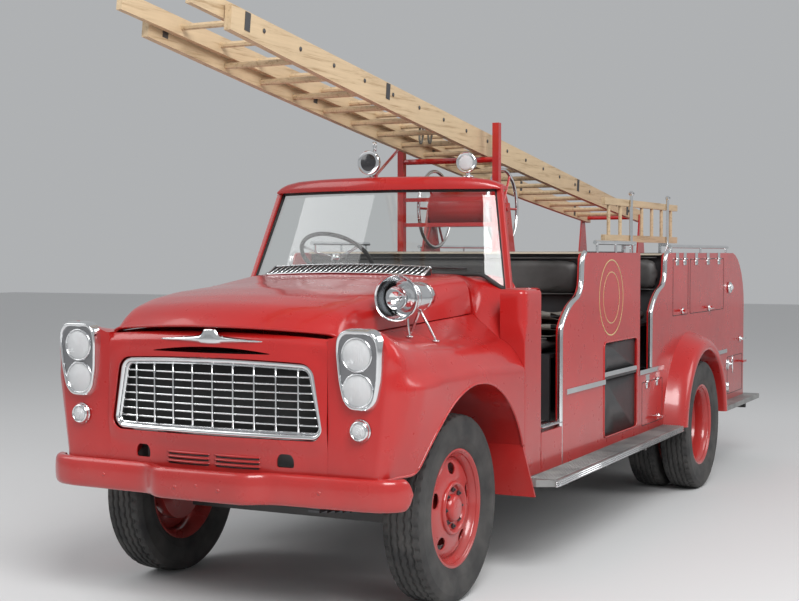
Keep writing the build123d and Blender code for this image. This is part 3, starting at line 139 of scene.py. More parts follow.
def span(tree, source, low, high):
    """Map a 0 to 1 value onto low to high."""
    made = node(tree, "ShaderNodeMapRange", **{"To Min": low, "To Max": high})
    tree.links.new(source, made.inputs["Value"])
    return made.outputs["Result"]


def bump(tree, shader, height, strength, distance):
    """Relief of a shader's surface from a height value."""
    made = node(tree, "ShaderNodeBump", Strength=strength, Distance=distance)
    tree.links.new(height, made.inputs["Height"])
    tree.links.new(made.outputs["Normal"], shader.inputs["Normal"])


def dust_low(tree, source, dust, height, share):
    """Mix dust over a colour near the ground, fading out at the height."""
    parts = node(tree, "ShaderNodeSeparateXYZ")
    tree.links.new(object_coords(tree), parts.inputs["Vector"])
    fade = node(tree, "ShaderNodeMapRange", **{"From Max": height, "To Min": share, "To Max": 0.0})
    tree.links.new(parts.outputs["Z"], fade.inputs["Value"])
    patchy = node(tree, "ShaderNodeMath", operation="MULTIPLY")
    tree.links.new(fade.outputs["Result"], patchy.inputs[0])
    tree.links.new(noise(tree, 6.0, 6.0), patchy.inputs[1])
    mix = node(tree, "ShaderNodeMix", data_type="RGBA")
    tree.links.new(patchy.outputs["Value"], mix.inputs["Factor"])
    tree.links.new(source, mix.inputs["A"])
    mix.inputs["B"].default_value = (*dust, 1.0)
    return mix.outputs["Result"]


# Finishes
def paint(name, colour, coat=0.6, rough=0.28, shade=0.12):
    """Sprayed enamel under a coat: slight patches in tone, fine orange peel, road dust low down."""
    material, tree, shader = new_material(name)
    dark = tuple(c * (1 - shade) for c in colour)
    light = tuple(min(1.0, c * (1 + shade)) for c in colour)
    tone = ramp(tree, noise(tree, 1.7, 5.0), ((0.3, dark), (0.7, light)))
    tree.links.new(dust_low(tree, tone, (0.22, 0.2, 0.18), 0.9, 0.5), shader.inputs["Base Color"])
    tree.links.new(span(tree, noise(tree, 9.0, 6.0), rough - 0.06, rough + 0.08), shader.inputs["Roughness"])
    shader.inputs["Coat Weight"].default_value = coat
    shader.inputs["Coat Roughness"].default_value = 0.08
    bump(tree, shader, noise(tree, 260.0, 2.0), 0.05, 0.0006)
    return material


def bright_metal(name, colour, rough, wear=0.06, brushed=None):
    """Plated or bare metal with faint smears, and brushing where a direction is given."""
    material, tree, shader = new_material(name)
    dark = tuple(c * 0.86 for c in colour)
    tree.links.new(ramp(tree, noise(tree, 4.0, 6.0), ((0.3, dark), (0.62, colour))),
                   shader.inputs["Base Color"])
    shader.inputs["Metallic"].default_value = 1.0
    tree.links.new(span(tree, noise(tree, 14.0, 7.0), max(0.02, rough - wear), rough + wear),
                   shader.inputs["Roughness"])
    if brushed:
        bump(tree, shader, noise(tree, 90.0, 3.0, stretch=brushed), 0.12, 0.0006)
    else:
        bump(tree, shader, noise(tree, 40.0, 3.0), 0.02, 0.001)
    return material


def timber(name, pale, dark, along):
    """Varnished timber: long grain along one axis, growth bands, small knots and handling marks."""
    material, tree, shader = new_material(name)
    across = tuple(1.0 if i == along else 22.0 for i in range(3))
    grain = noise(tree, 2.2, 8.0, stretch=across, roughness=0.62)
    fine = noise(tree, 9.0, 4.0, stretch=across)
    mixed = node(tree, "ShaderNodeMath", operation="MULTIPLY_ADD")
    mixed.inputs[1].default_value = 0.35
    tree.links.new(fine, mixed.inputs[0])
    tree.links.new(grain, mixed.inputs[2])
    colour = ramp(tree, mixed.outputs["Value"],
                  ((0.48, dark), (0.62, pale), (0.86, tuple(c * 1.12 for c in pale))))
    marks = node(tree, "ShaderNodeMix", data_type="RGBA")
    tree.links.new(span(tree, noise(tree, 3.1, 6.0), 0.0, 0.34), marks.inputs["Factor"])
    tree.links.new(colour, marks.inputs["A"])
    marks.inputs["B"].default_value = (*tuple(c * 0.55 for c in dark), 1.0)
    tree.links.new(marks.outputs["Result"], shader.inputs["Base Color"])
    tree.links.new(span(tree, fine, 0.42, 0.62), shader.inputs["Roughness"])
    bump(tree, shader, mixed.outputs["Value"], 0.25, 0.0012)
    return material


def rubber(name, colour, dust):
    """Tyre rubber, greyer and dusty where it meets the road."""
    material, tree, shader = new_material(name)
    tone = ramp(tree, noise(tree, 7.0, 7.0), ((0.3, colour), (0.75, dust)))
    tree.links.new(tone, shader.inputs["Base Color"])
    tree.links.new(span(tree, noise(tree, 20.0, 5.0), 0.62, 0.9), shader.inputs["Roughness"])
    bump(tree, shader, noise(tree, 120.0, 4.0), 0.18, 0.001)
    return material


def leather(name, colour):
    """Coated seat cloth with a pebbled grain and worn, paler crowns."""
    material, tree, shader = new_material(name)
    worn = tuple(min(1.0, c * 2.0 + 0.03) for c in colour)
    tree.links.new(ramp(tree, noise(tree, 5.0, 6.0), ((0.35, colour), (0.8, worn))),
                   shader.inputs["Base Color"])
    tree.links.new(span(tree, noise(tree, 16.0, 5.0), 0.38, 0.58), shader.inputs["Roughness"])
    pebbles = node(tree, "ShaderNodeTexVoronoi", Scale=420.0)
    tree.links.new(object_coords(tree), pebbles.inputs["Vector"])
    bump(tree, shader, pebbles.outputs["Distance"], 0.22, 0.0009)
    return material


def canvas(name, colour):
    """Woven cloth: crossed fine threads, and random darker patches in tone as painted shade of soft folds."""
    material, tree, shader = new_material(name)
    dark = tuple(c * 0.7 for c in colour)
    tree.links.new(ramp(tree, noise(tree, 9.0, 6.0), ((0.3, dark), (0.7, colour))),
                   shader.inputs["Base Color"])
    tree.links.new(span(tree, noise(tree, 30.0, 4.0), 0.75, 0.95), shader.inputs["Roughness"])
    threads = noise(tree, 260.0, 2.0, stretch=(1.0, 4.0, 1.0))
    bump(tree, shader, threads, 0.3, 0.0008)
    return material


def glass(name, tint, rough, see_through):
    """Tinted glass with faint smears."""
    material, tree, shader = new_material(name)
    shader.inputs["Base Color"].default_value = (*tint, 1.0)
    shader.inputs["Transmission Weight"].default_value = see_through
    shader.inputs["IOR"].default_value = 1.45
    tree.links.new(span(tree, noise(tree, 6.0, 5.0), rough, rough + 0.03), shader.inputs["Roughness"])
    return material


def tread_plate(name):
    """Scuffed aluminium plate with a fine pebbled face."""
    material, tree, shader = new_material(name)
    tree.links.new(ramp(tree, noise(tree, 5.0, 7.0), ((0.3, (0.2, 0.2, 0.2)), (0.7, (0.42, 0.42, 0.41)))),
                   shader.inputs["Base Color"])
    shader.inputs["Metallic"].default_value = 0.85
    tree.links.new(span(tree, noise(tree, 12.0, 6.0), 0.38, 0.62), shader.inputs["Roughness"])
    bump(tree, shader, noise(tree, 60.0, 5.0), 0.25, 0.001)
    return material


RED = (0.43, 0.010, 0.009)
finishes = {
    "red_paint": paint("red enamel", RED),
    "black_paint": paint("black chassis enamel", (0.028, 0.028, 0.03), coat=0.1, rough=0.45),
    "engine_grey": paint("engine grey", (0.13, 0.14, 0.14), coat=0.0, rough=0.6),
    "chrome": bright_metal("bright plating", (0.82, 0.83, 0.84), 0.1),
    "tread_plate": tread_plate("aluminium plate"),
    "spring_steel": bright_metal("spring steel", (0.12, 0.12, 0.125), 0.5),
    "timber": timber("varnished ash", (0.6, 0.45, 0.28), (0.38, 0.25, 0.13), 1),
    "tyre": rubber("tyre rubber", (0.022, 0.022, 0.023), (0.075, 0.072, 0.068)),
    "clear_glass": glass("windscreen glass", (0.95, 0.97, 0.96), 0.0, 1.0),
    "lamp_glass": glass("lamp glass", (0.86, 0.87, 0.88), 0.04, 0.42),
    "rubber_black": rubber("black rubber trim", (0.02, 0.02, 0.02), (0.05, 0.05, 0.05)),
    "timber_pale": timber("pale capping timber", (0.62, 0.55, 0.44), (0.45, 0.38, 0.29), 0),
    # Near-black: the radiator core's own dark, and painted shade in the grille duct and the air intake trough
    "core_dark": rubber("dark radiator core and painted shade", (0.006, 0.006, 0.006), (0.014, 0.014, 0.014)),
    "satin_metal": bright_metal("satin lamp panel", (0.3, 0.3, 0.31), 0.42),
    "gold": paint("pale gold line", (0.62, 0.48, 0.2), coat=0.4, rough=0.35),
    "dark_glass": paint("dark lamp face", (0.02, 0.021, 0.024), coat=1.0, rough=0.2),
    "canvas": canvas("grey canvas", (0.2, 0.19, 0.165)),
    "seat_leather": leather("black seat covering", (0.035, 0.033, 0.032)),
}
slot_of = {row["node"]: row["material_slot"] for row in frame["record"]["subparts"]}
for name, cad in nodes.items():
    # Painted shade: the bulkheads get black paint because the inner panels under the seats lie in shade
    shaded = name == "bulkheads"  # the inner panels under the seats look black in the shade
    cad.data.materials.clear()
    cad.data.materials.append(finishes["black_paint" if shaded else slot_of[name]])


# Mesh helpers
def put(name, points, faces, finish, body=CHASSIS, smooth=True, facing=None):
    """Mesh object from arrays of points and faces, its faces turned outward, riding on a body."""
    mesh = bpy.data.meshes.new(name)
    mesh.from_pydata(np.asarray(points, float).reshape(-1, 3).tolist(), [],
                     [list(map(int, f)) for f in faces])
    mesh.update()
    edit = bmesh.new()
    edit.from_mesh(mesh)
    bmesh.ops.remove_doubles(edit, verts=edit.verts, dist=1e-6)
    bmesh.ops.recalc_face_normals(edit, faces=edit.faces)
    if facing is not None:
        total = sum((face.normal * face.calc_area() for face in edit.faces), Vector((0, 0, 0)))
        if total.dot(Vector(facing)) < 0:
            bmesh.ops.reverse_faces(edit, faces=edit.faces)
    edit.to_mesh(mesh)
    edit.free()
    if smooth:
        mesh.shade_smooth()
    made = bpy.data.objects.new(name, mesh)
    bpy.context.scene.collection.objects.link(made)
    mesh.materials.append(finishes[finish] if isinstance(finish, str) else finish)
    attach(made, body)
    return made


def grid_faces(rows, columns, close_rows=False, close_columns=False):
    """Quads over a grid of points stored row by row, wrapped where asked."""
    r = np.arange(rows if close_rows else rows - 1)
    c = np.arange(columns if close_columns else columns - 1)
    r0, c0 = np.meshgrid(r, c, indexing="ij")
    r1, c1 = (r0 + 1) % rows, (c0 + 1) % columns
    return coords(r0 * columns + c0, r0 * columns + c1, r1 * columns + c1, r1 * columns + c0).reshape(-1, 4)


def skin(name, grid, finish, body=CHASSIS, close_rows=False, close_columns=False, caps=False, smooth=True,
         facing=None):
    """Surface over a grid of points, with flat caps on the first and last rows if asked."""
    rows, columns = grid.shape[:2]
    faces = grid_faces(rows, columns, close_rows, close_columns).tolist()
    if caps:
        faces.append(list(range(columns)))
        faces.append(list(range((rows - 1) * columns, rows * columns)))
    return put(name, grid, faces, finish, body, smooth, facing)


def joined(name, grids, finish, body=CHASSIS, smooth=True, wrapped=False, open_ends=False, facing=None):
    """One piece from grids that wrap along their columns, their ends capped, wrapped too or left open."""
    points, faces, start = [], [], 0
    for grid in grids:
        rows, columns = grid.shape[:2]
        faces += (grid_faces(rows, columns, close_rows=wrapped, close_columns=True) + start).tolist()
        if not (wrapped or open_ends):
            faces.append(list(range(start, start + columns)))
            faces.append(list(range(start + (rows - 1) * columns, start + rows * columns)))
        points.append(grid.reshape(-1, 3))
        start += rows * columns
    return put(name, np.vstack(points), faces, finish, body, smooth, facing)


def coords(*values):
    """Points from their coordinates, each an array or a single value."""
    return np.stack(np.broadcast_arrays(*values), -1)


def arc_through(start, middle, end, count):
    """Points along the circle arc through three points of a plane."""
    (ax, ay), (bx, by), (cx, cy) = start, middle, end
    d = 2 * (ax * (by - cy) + bx * (cy - ay) + cx * (ay - by))
    ux = ((ax**2 + ay**2) * (by - cy) + (bx**2 + by**2) * (cy - ay) + (cx**2 + cy**2) * (ay - by)) / d
    uy = ((ax**2 + ay**2) * (cx - bx) + (bx**2 + by**2) * (ax - cx) + (cx**2 + cy**2) * (bx - ax)) / d
    a0, a1, a2 = (math.atan2(y - uy, x - ux) for x, y in (start, middle, end))
    sweep = (a2 - a0) % (2 * math.pi)
    if (a1 - a0) % (2 * math.pi) > sweep:
        sweep -= 2 * math.pi
    t = a0 + sweep * np.linspace(0, 1, count)
    r = math.hypot(ax - ux, ay - uy)
    return coords(ux + r * np.cos(t), uy + r * np.sin(t))


def turned(profile, centre, axis, around=48, phase=0.0):
    """Grid of a profile of (distance along the axis, radius) turned about the axis through the centre."""
    axis = np.asarray(axis, float) / np.linalg.norm(axis)
    side = np.cross(axis, (0, 0, 1.0)) if abs(axis[2]) < 0.9 else np.cross(axis, (0, 1.0, 0))
    side /= np.linalg.norm(side)
    up = np.cross(side, axis)
    t = np.linspace(0, 2 * math.pi, around, endpoint=False) + phase
    ring = np.cos(t)[:, None] * side + np.sin(t)[:, None] * up
    profile = np.asarray(profile, float)
    return np.asarray(centre) + profile[:, 0, None, None] * axis + profile[:, 1, None, None] * ring[None]


def tube_grid(path, radius, sides=12, closed=False):
    """Grid of circles square to a path, each turned as little as can be from a fixed upright."""
    path = np.asarray(path, float)
    if closed:
        along = np.roll(path, -1, axis=0) - np.roll(path, 1, axis=0)
    else:
        along = np.gradient(path, axis=0)
    along /= np.linalg.norm(along, axis=1)[:, None]
    fixed = np.eye(3)[int(np.argmin(np.abs(along).max(0)))]
    side = np.cross(along, fixed)
    side /= np.linalg.norm(side, axis=1)[:, None]
    up = np.cross(side, along)
    t = np.linspace(0, 2 * math.pi, sides, endpoint=False)
    radius = np.broadcast_to(np.asarray(radius, float), len(path))
    return path[:, None] + radius[:, None, None] * (
        np.cos(t)[None, :, None] * side[:, None] + np.sin(t)[None, :, None] * up[:, None])


def smooth_path(points, count):
    """Points along a smooth curve through a few given points, by Catmull-Rom cubics."""
    p = np.asarray(points, float)
    p = np.vstack([2 * p[0] - p[1], p, 2 * p[-1] - p[-2]])
    spans = len(p) - 3
    s = np.linspace(0, spans, count)
    i = np.minimum(s.astype(int), spans - 1)
    t = (s - i)[:, None]
    a, b, c, d = p[i], p[i + 1], p[i + 2], p[i + 3]
    return 0.5 * (2 * b + (c - a) * t + (2 * a - 5 * b + 4 * c - d) * t**2 + (3 * b - a - 3 * c + d) * t**3)


def evenly(points, count):
    """Points at even steps along a polyline."""
    points = np.asarray(points, float)
    run = np.concatenate([[0], np.cumsum(np.linalg.norm(np.diff(points, axis=0), axis=1))])
    at = np.linspace(0, run[-1], count)
    return np.stack([np.interp(at, run, points[:, k]) for k in range(points.shape[1])], -1)


def bell_weights(n, reach):
    """Weights exp(-(k / reach)^2 / 2) for k from -n to n, with a sum of 1."""
    weights = np.exp(-0.5 * (np.arange(-n, n + 1) / reach) ** 2)
    return weights / weights.sum()


def eased(points, reach):
    """Evenly spaced rows with their corners rounded over the reach, in steps; the ends stay."""
    points = np.asarray(points, float)
    n = min(int(3 * reach) + 1, len(points) - 1)
    before = 2 * points[0] - points[n:0:-1]
    after = 2 * points[-1] - points[-2:-n - 2:-1]
    padded = np.concatenate([before, points, after])
    return sum(w * padded[k:k + len(points)] for k, w in enumerate(bell_weights(n, reach)))


def round_loop(points, count, reach):
    """Closed loop at even steps with its corners rounded over the reach, in steps."""
    points = np.asarray(points, float)
    even = evenly(np.vstack([points, points[:1]]), count + 1)[:-1]
    n = int(3 * reach) + 1
    return sum(w * np.roll(even, k - n, axis=0) for k, w in enumerate(bell_weights(n, reach)))


def along_stations(stations, sections, at):
    """Sections at new stations, straight between the given ones."""
    sections = np.asarray(sections, float)
    flat = sections.reshape(len(sections), -1)
    return np.stack([np.interp(at, stations, flat[:, k]) for k in range(flat.shape[1])], -1).reshape(
        len(at), *sections.shape[1:])


def inside(points, loop):
    """Which points lie inside a closed loop, by the count of crossings to the right."""
    x, z = points[:, 0, None], points[:, 1, None]
    a, b = loop[None], np.roll(loop, -1, axis=0)[None]
    spans = (a[..., 1] > z) != (b[..., 1] > z)
    rise = np.where(b[..., 1] == a[..., 1], 1.0, b[..., 1] - a[..., 1])
    return (spans & (x < a[..., 0] + (z - a[..., 1]) * (b[..., 0] - a[..., 0]) / rise)).sum(1) % 2 == 1


def pierced(outline, holes, pitch):
    """Flat triangles of about the pitch that fill an outline round its holes: (points, triangles)."""
    loops = [np.asarray(loop, float) for loop in (outline, *holes)]
    edge = np.vstack(loops)
    low, high = loops[0].min(0), loops[0].max(0)
    gx, gz = np.meshgrid(np.arange(low[0], high[0], pitch), np.arange(low[1], high[1], pitch))
    fill = coords(gx.ravel(), gz.ravel())
    fill = fill[inside(fill, loops[0])]
    for hole in loops[1:]:
        fill = fill[~inside(fill, hole)]
    fill = fill[np.linalg.norm(fill[:, None] - edge[None], axis=2).min(1) > 0.55 * pitch]
    starts = np.cumsum([0] + [len(loop) for loop in loops])
    edges = np.vstack([coords(np.arange(a, b), np.roll(np.arange(a, b), -1))
                       for a, b in zip(starts, starts[1:])])
    found = delaunay_2d_cdt([Vector(p) for p in np.vstack([edge, fill]).tolist()], edges.tolist(), [], 0,
                            1e-7)
    flat, triangles = np.array([tuple(p) for p in found[0]]), np.array(found[2])
    middle = flat[triangles].mean(1)
    keep = inside(middle, loops[0])
    for hole in loops[1:]:
        keep &= ~inside(middle, hole)
    return flat, triangles[keep]


def circle(centre, radius, count, stretch=(1.0, 1.0)):
    """Points of a circle in a plane."""
    t = np.linspace(0, 2 * math.pi, count, endpoint=False)
    return coords(centre[0] + stretch[0] * radius * np.cos(t), centre[1] + stretch[1] * radius * np.sin(t))


def edge_distance(points, loop):
    """Distance of each point from a closed loop of close points."""
    return np.linalg.norm(points[:, None] - loop[None], axis=2).min(1)


def sharpen(piece, degrees=35):
    """Keep edges sharper than the angle crisp."""
    piece.data.set_sharp_from_angle(angle=math.radians(degrees))
    return piece


def applied(piece):
    """Mesh of a piece with its modifiers applied, which becomes its mesh."""
    graph = bpy.context.evaluated_depsgraph_get()
    mesh = bpy.data.meshes.new_from_object(piece.evaluated_get(graph))
    piece.modifiers.clear()
    piece.data = mesh
    return mesh


def thicken(piece, thickness, degrees=40):
    """Gives a sheet its thickness behind its outer face, and keeps its rims crisp."""
    wall = piece.modifiers.new("wall", "SOLIDIFY")
    wall.thickness = thickness
    wall.offset = -1
    applied(piece).shade_smooth()
    return sharpen(piece, degrees)


def mirrored(*grids):
    """Grids, each followed by its mirror image across the vehicle."""
    return [g for grid in grids for g in (grid, grid * (-1.0, 1.0, 1.0))]


def bar_grid(corner_low, corner_high, edge=0.002):
    """Closed grid of a bar between two corners of its box, its long edges eased."""
    (x0, y0, z0), (x1, y1, z1) = corner_low, corner_high
    loop = [(x0 + edge, z0), (x1 - edge, z0), (x1, z0 + edge), (x1, z1 - edge),
            (x1 - edge, z1), (x0 + edge, z1), (x0, z1 - edge), (x0, z0 + edge)]
    return np.array([[(x, y, z) for x, z in loop] for y in (y0, y1)])


# Nose panel: a bowed pressing, raised round the grille, with its slots cut through
FA, RA, AXLE_Z = -2.245, 1.655, 0.465
NOSE_X = 0.61
GRILLE_LOW_X, GRILLE_TOP_X, GRILLE_Z0, GRILLE_Z1 = 0.596, 0.538, 0.868, 1.222


def nose_y(x):
    """Front of the bowed nose: 42 mm further back at its sides."""
    return FA - 0.830 + 0.042 * (np.asarray(x) / NOSE_X) ** 2


def grille_loop(grow, corner=10):
    """Outline of the grille opening grown on every side, matched point for point at every growth."""
    round_off = 0.062 + grow
    low, top = GRILLE_LOW_X + grow, GRILLE_TOP_X + grow
    z0, z1 = GRILLE_Z0 - grow, GRILLE_Z1 + grow
    lean = (low - top) / (z1 - z0)
    foot, head = low - lean * round_off, top + lean * round_off
    foot_arc = arc_through((low - round_off, z0), (foot - 0.25 * round_off, z0 + 0.32 * round_off),
                           (foot, z0 + round_off), corner)
    head_arc = arc_through((head, z1 - round_off), (top - 0.27 * round_off, z1 - 0.27 * round_off),
                           (top - round_off, z1), corner)
    crown = arc_through((top - round_off, z1), (0, z1 + 0.012), (round_off - top, z1), 25)[1:-1]
    floor_line = coords(np.linspace(round_off - low, low - round_off, 25), z0)[1:-1]
    other_side = np.vstack([head_arc[::-1], foot_arc[::-1]]) * (-1.0, 1.0)
    return np.vstack([foot_arc, head_arc, crown, other_side, floor_line])


nose_top = arc_through((NOSE_X, 1.335), (0, 1.358), (-NOSE_X, 1.335), 49)
nose_outline = np.vstack([
    coords(np.linspace(-NOSE_X, NOSE_X, 49), 0.690),
    coords(NOSE_X, np.linspace(0.690, 1.335, 26)[1:-1]),
    nose_top,
    coords(-NOSE_X, np.linspace(1.335, 0.690, 26)[1:-1])])
slot_x = np.linspace(-0.330, 0.330, 41)
slot_top = 1.2830 - 0.024 * (slot_x / 0.330) ** 2
slot_floor = 1.2545 + 0.002 * (slot_x / 0.330) ** 2
slot_loop = round_loop(np.vstack([coords(slot_x, slot_floor), coords(slot_x, slot_top)[::-1]]), 120, 0.6)
LOUVRES = [(x, z) for x in (-0.125, 0.148) for z in (0.729, 0.7505, 0.772)]
louvre_loops = [round_loop([(x - 0.1175, z - 0.0055), (x + 0.1175, z - 0.0055),
                            (x + 0.1175, z + 0.0055), (x - 0.1175, z + 0.0055)], 48, 0.5) for x, z in LOUVRES]
TOWING_HOLE = ((-0.044, 0.742), (0.044, 0.742), (0.044, 0.778), (0.028, 0.804), (-0.028, 0.804),
               (-0.044, 0.778))
hook_loops = [round_loop([(x + a, b) for a, b in TOWING_HOLE], 40, 1.2) for x in (-0.398, 0.398)]
flat, triangles = pierced(nose_outline, [grille_loop(0.0), slot_loop, *louvre_loops, *hook_loops], 0.017)
surround = np.clip(1 - edge_distance(flat, evenly(grille_loop(0.0), 240)) / 0.075, 0, 1)
lip = np.clip((flat[:, 1] - 1.312 + 0.023 * (flat[:, 0] / NOSE_X) ** 2) / 0.045, 0, 1)
flush = np.clip((np.abs(flat[:, 0]) - 0.50) / 0.11, 0, 1)
depth = (nose_y(flat[:, 0]) - 0.012 * surround**2 * (3 - 2 * surround) + 0.030 * lip**2
         - 0.0075 * flush**2 * (3 - 2 * flush))
nose = put("nose_pressing", coords(flat[:, 0], depth, flat[:, 1] - 0.006 * lip), triangles, "red_paint",
           facing=(0, -1, 0))
thicken(nose, 0.008)
back = coords(nose_top[:, 0], nose_y(nose_top[:, 0]) + 0.028, nose_top[:, 1] - 0.008)
nose_shelf = skin("nose_top_flange", np.stack([back, back + (0, 0.07, -0.003)]), "red_paint",
                  facing=(0, 0, 1))
thicken(nose_shelf, 0.006)
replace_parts(nose, "nose_panel")
louvre_lips = []
for x, z in LOUVRES:
    run = np.linspace(-0.124, 0.124, 25)
    bulge = np.clip(np.cos(np.pi * run / 0.262), 0, 1) ** 0.35
    path = coords(x + run, nose_y(x + run) - 0.003 * bulge, z + 0.0075)
    louvre_lips.append(tube_grid(path, 0.0062 * np.maximum(bulge, 0.2), 10))
joined("nose_louvre_lips", louvre_lips, "red_paint")


# Grille: a broad bright frame bowed with the nose, uprights ahead of crossbars
def grille_y(x):
    """Front plane of the grille frame, bowed with the nose."""
    return FA - 0.784 - 0.040 * (1 - (np.asarray(x) / 0.6) ** 2)


frame_profile = ((0.0004, 0.030), (0.0004, 0.004), (0.003, -0.003), (0.008, -0.007), (0.015, -0.008),
                 (0.022, -0.005), (0.027, 0.002), (0.029, 0.010), (0.034, 0.008), (0.038, 0.012),
                 (0.040, 0.020), (0.040, 0.032))
rings = []
for inset, set_back in frame_profile:
    loop = grille_loop(-inset)
    rings.append(coords(loop[:, 0], grille_y(loop[:, 0]) + set_back, loop[:, 1]))
frame_grid = np.stack(rings)
GRILLE_BAR_R = 0.0045
grille_bars = []
pitch = 2 * (GRILLE_LOW_X - 0.03) / 10
for i in range(9):
    x = (i - 4) * pitch
    path = coords(x, grille_y(x) + 0.013, np.linspace(GRILLE_Z0 + 0.03, GRILLE_Z1 - 0.02, 5))
    grille_bars.append(tube_grid(path, GRILLE_BAR_R, 8))
rise = (GRILLE_Z1 - GRILLE_Z0 - 0.06) / 8
for i in range(7):
    z = GRILLE_Z0 + 0.03 + rise * (i + 1)
    reach = GRILLE_LOW_X - 0.03 - (GRILLE_LOW_X - GRILLE_TOP_X) * (z - GRILLE_Z0) / (GRILLE_Z1 - GRILLE_Z0)
    x = np.linspace(-reach, reach, 33)
    grille_bars.append(tube_grid(coords(x, grille_y(x) + 0.020, z), GRILLE_BAR_R, 8))
joined("grille_bars", grille_bars, "chrome")
surround_ring = skin("grille_frame", frame_grid, "chrome", close_rows=True, close_columns=True)
sharpen(surround_ring, 60)
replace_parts(surround_ring, "grille")

# Duct between the grille and the radiator in near-black: painted shade on its walls and its back, the back
# also standing for the dark radiator core
DUCT = np.array(((-0.600, 0.850), (0.600, 0.850), (0.545, 1.245), (-0.545, 1.245)))
duct = np.stack([coords(DUCT[:, 0], y, DUCT[:, 1]) for y in (FA - 0.770, FA - 0.746)])
skin("grille_duct", duct, "core_dark", close_columns=True, smooth=False)
put("grille_duct_back", coords(DUCT[:, 0], FA - 0.7455, DUCT[:, 1]), [(0, 1, 2, 3)], "core_dark",
    smooth=False, facing=(0, -1, 0))

# Plain winged ornament above the air slot, puffed up from its outline
half_wing = [(0.0, 1.371), (0.028, 1.371), (0.035, 1.366), (0.042, 1.350), (0.056, 1.337), (0.100, 1.3315),
             (0.285, 1.316), (0.287, 1.312), (0.150, 1.307), (0.060, 1.303), (0.054, 1.297), (0.0, 1.295)]
wing_loop = round_loop(half_wing + [(-x, z) for x, z in reversed(half_wing[1:-1])], 200, 1.0)
flat, triangles = pierced(wing_loop, [], 0.004)
puff = 1 - np.exp(-edge_distance(flat, evenly(wing_loop, 500)) / 0.006)
puffed = coords(flat[:, 0], nose_y(flat[:, 0]) + 0.002 - 0.014 * puff, flat[:, 1])
put("nose_ornament", puffed, triangles, "chrome", facing=(0, -1, 0))

# Lamp bezels: hooded castings with two round openings, drawn in below
LAMP_X, LAMP_R = 0.776, 0.073
LAMP_ZS = (1.270, 1.110)
BEZEL_X, BEZEL_Z, BEZEL_LOW = 0.780, 1.200, 1.015
BEZEL_Y = FA - 0.795
bezel_half = [(-0.080, 1.385), (0.080, 1.385), (0.112, 1.350), (0.117, 1.290), (0.106, 1.150), (0.086, 1.055),
              (0.050, 1.015), (-0.050, 1.015), (-0.086, 1.055), (-0.106, 1.150), (-0.117, 1.290),
              (-0.112, 1.350)]
bezel_loop = round_loop(bezel_half, 96, 1.6)


def bezel_ring(share, inward=1.0):
    """Outline of the bezel from its back, at share 0, to its front, at 1; inward below 1 draws it in."""
    across = (1 - 0.12 * share) * inward
    up = BEZEL_Z + (1 - 0.07 * share) * inward * (bezel_loop[:, 1] - BEZEL_Z)
    front = BEZEL_Y - 0.026 - 0.06 * (up - BEZEL_LOW)
    return coords(BEZEL_X + across * bezel_loop[:, 0], BEZEL_Y + (front - BEZEL_Y)
                  * np.sin(share * np.pi / 2) ** 0.8, up)


rim = [bezel_ring(t) for t in np.linspace(0, 1, 8)]
rim += [bezel_ring(1.0, inward) + (0, set_back, 0)
        for inward, set_back in ((0.96, 0.001), (0.93, 0.006), (0.92, 0.012))]
bezel_rim = joined("bezel_rims", mirrored(np.stack(rim)), "chrome", open_ends=True, facing=(0, -1, 0))
sharpen(bezel_rim, 70)
face_loop = bezel_ring(1.0, 0.92)[:, [0, 2]]
flat, triangles = pierced(face_loop, [circle((LAMP_X, z), LAMP_R + 0.001, 64) for z in LAMP_ZS], 0.012)
plate = coords(flat[:, 0], BEZEL_Y - 0.026 - 0.06 * (flat[:, 1] - BEZEL_LOW) + 0.012, flat[:, 1])
bezel_face = put("bezel_faces", np.vstack(mirrored(plate)), np.vstack([triangles, triangles + len(plate)]),
                 "satin_metal", facing=(0, -1, 0))
thicken(bezel_face, 0.004)
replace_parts(bezel_rim, "lamp_bezels")

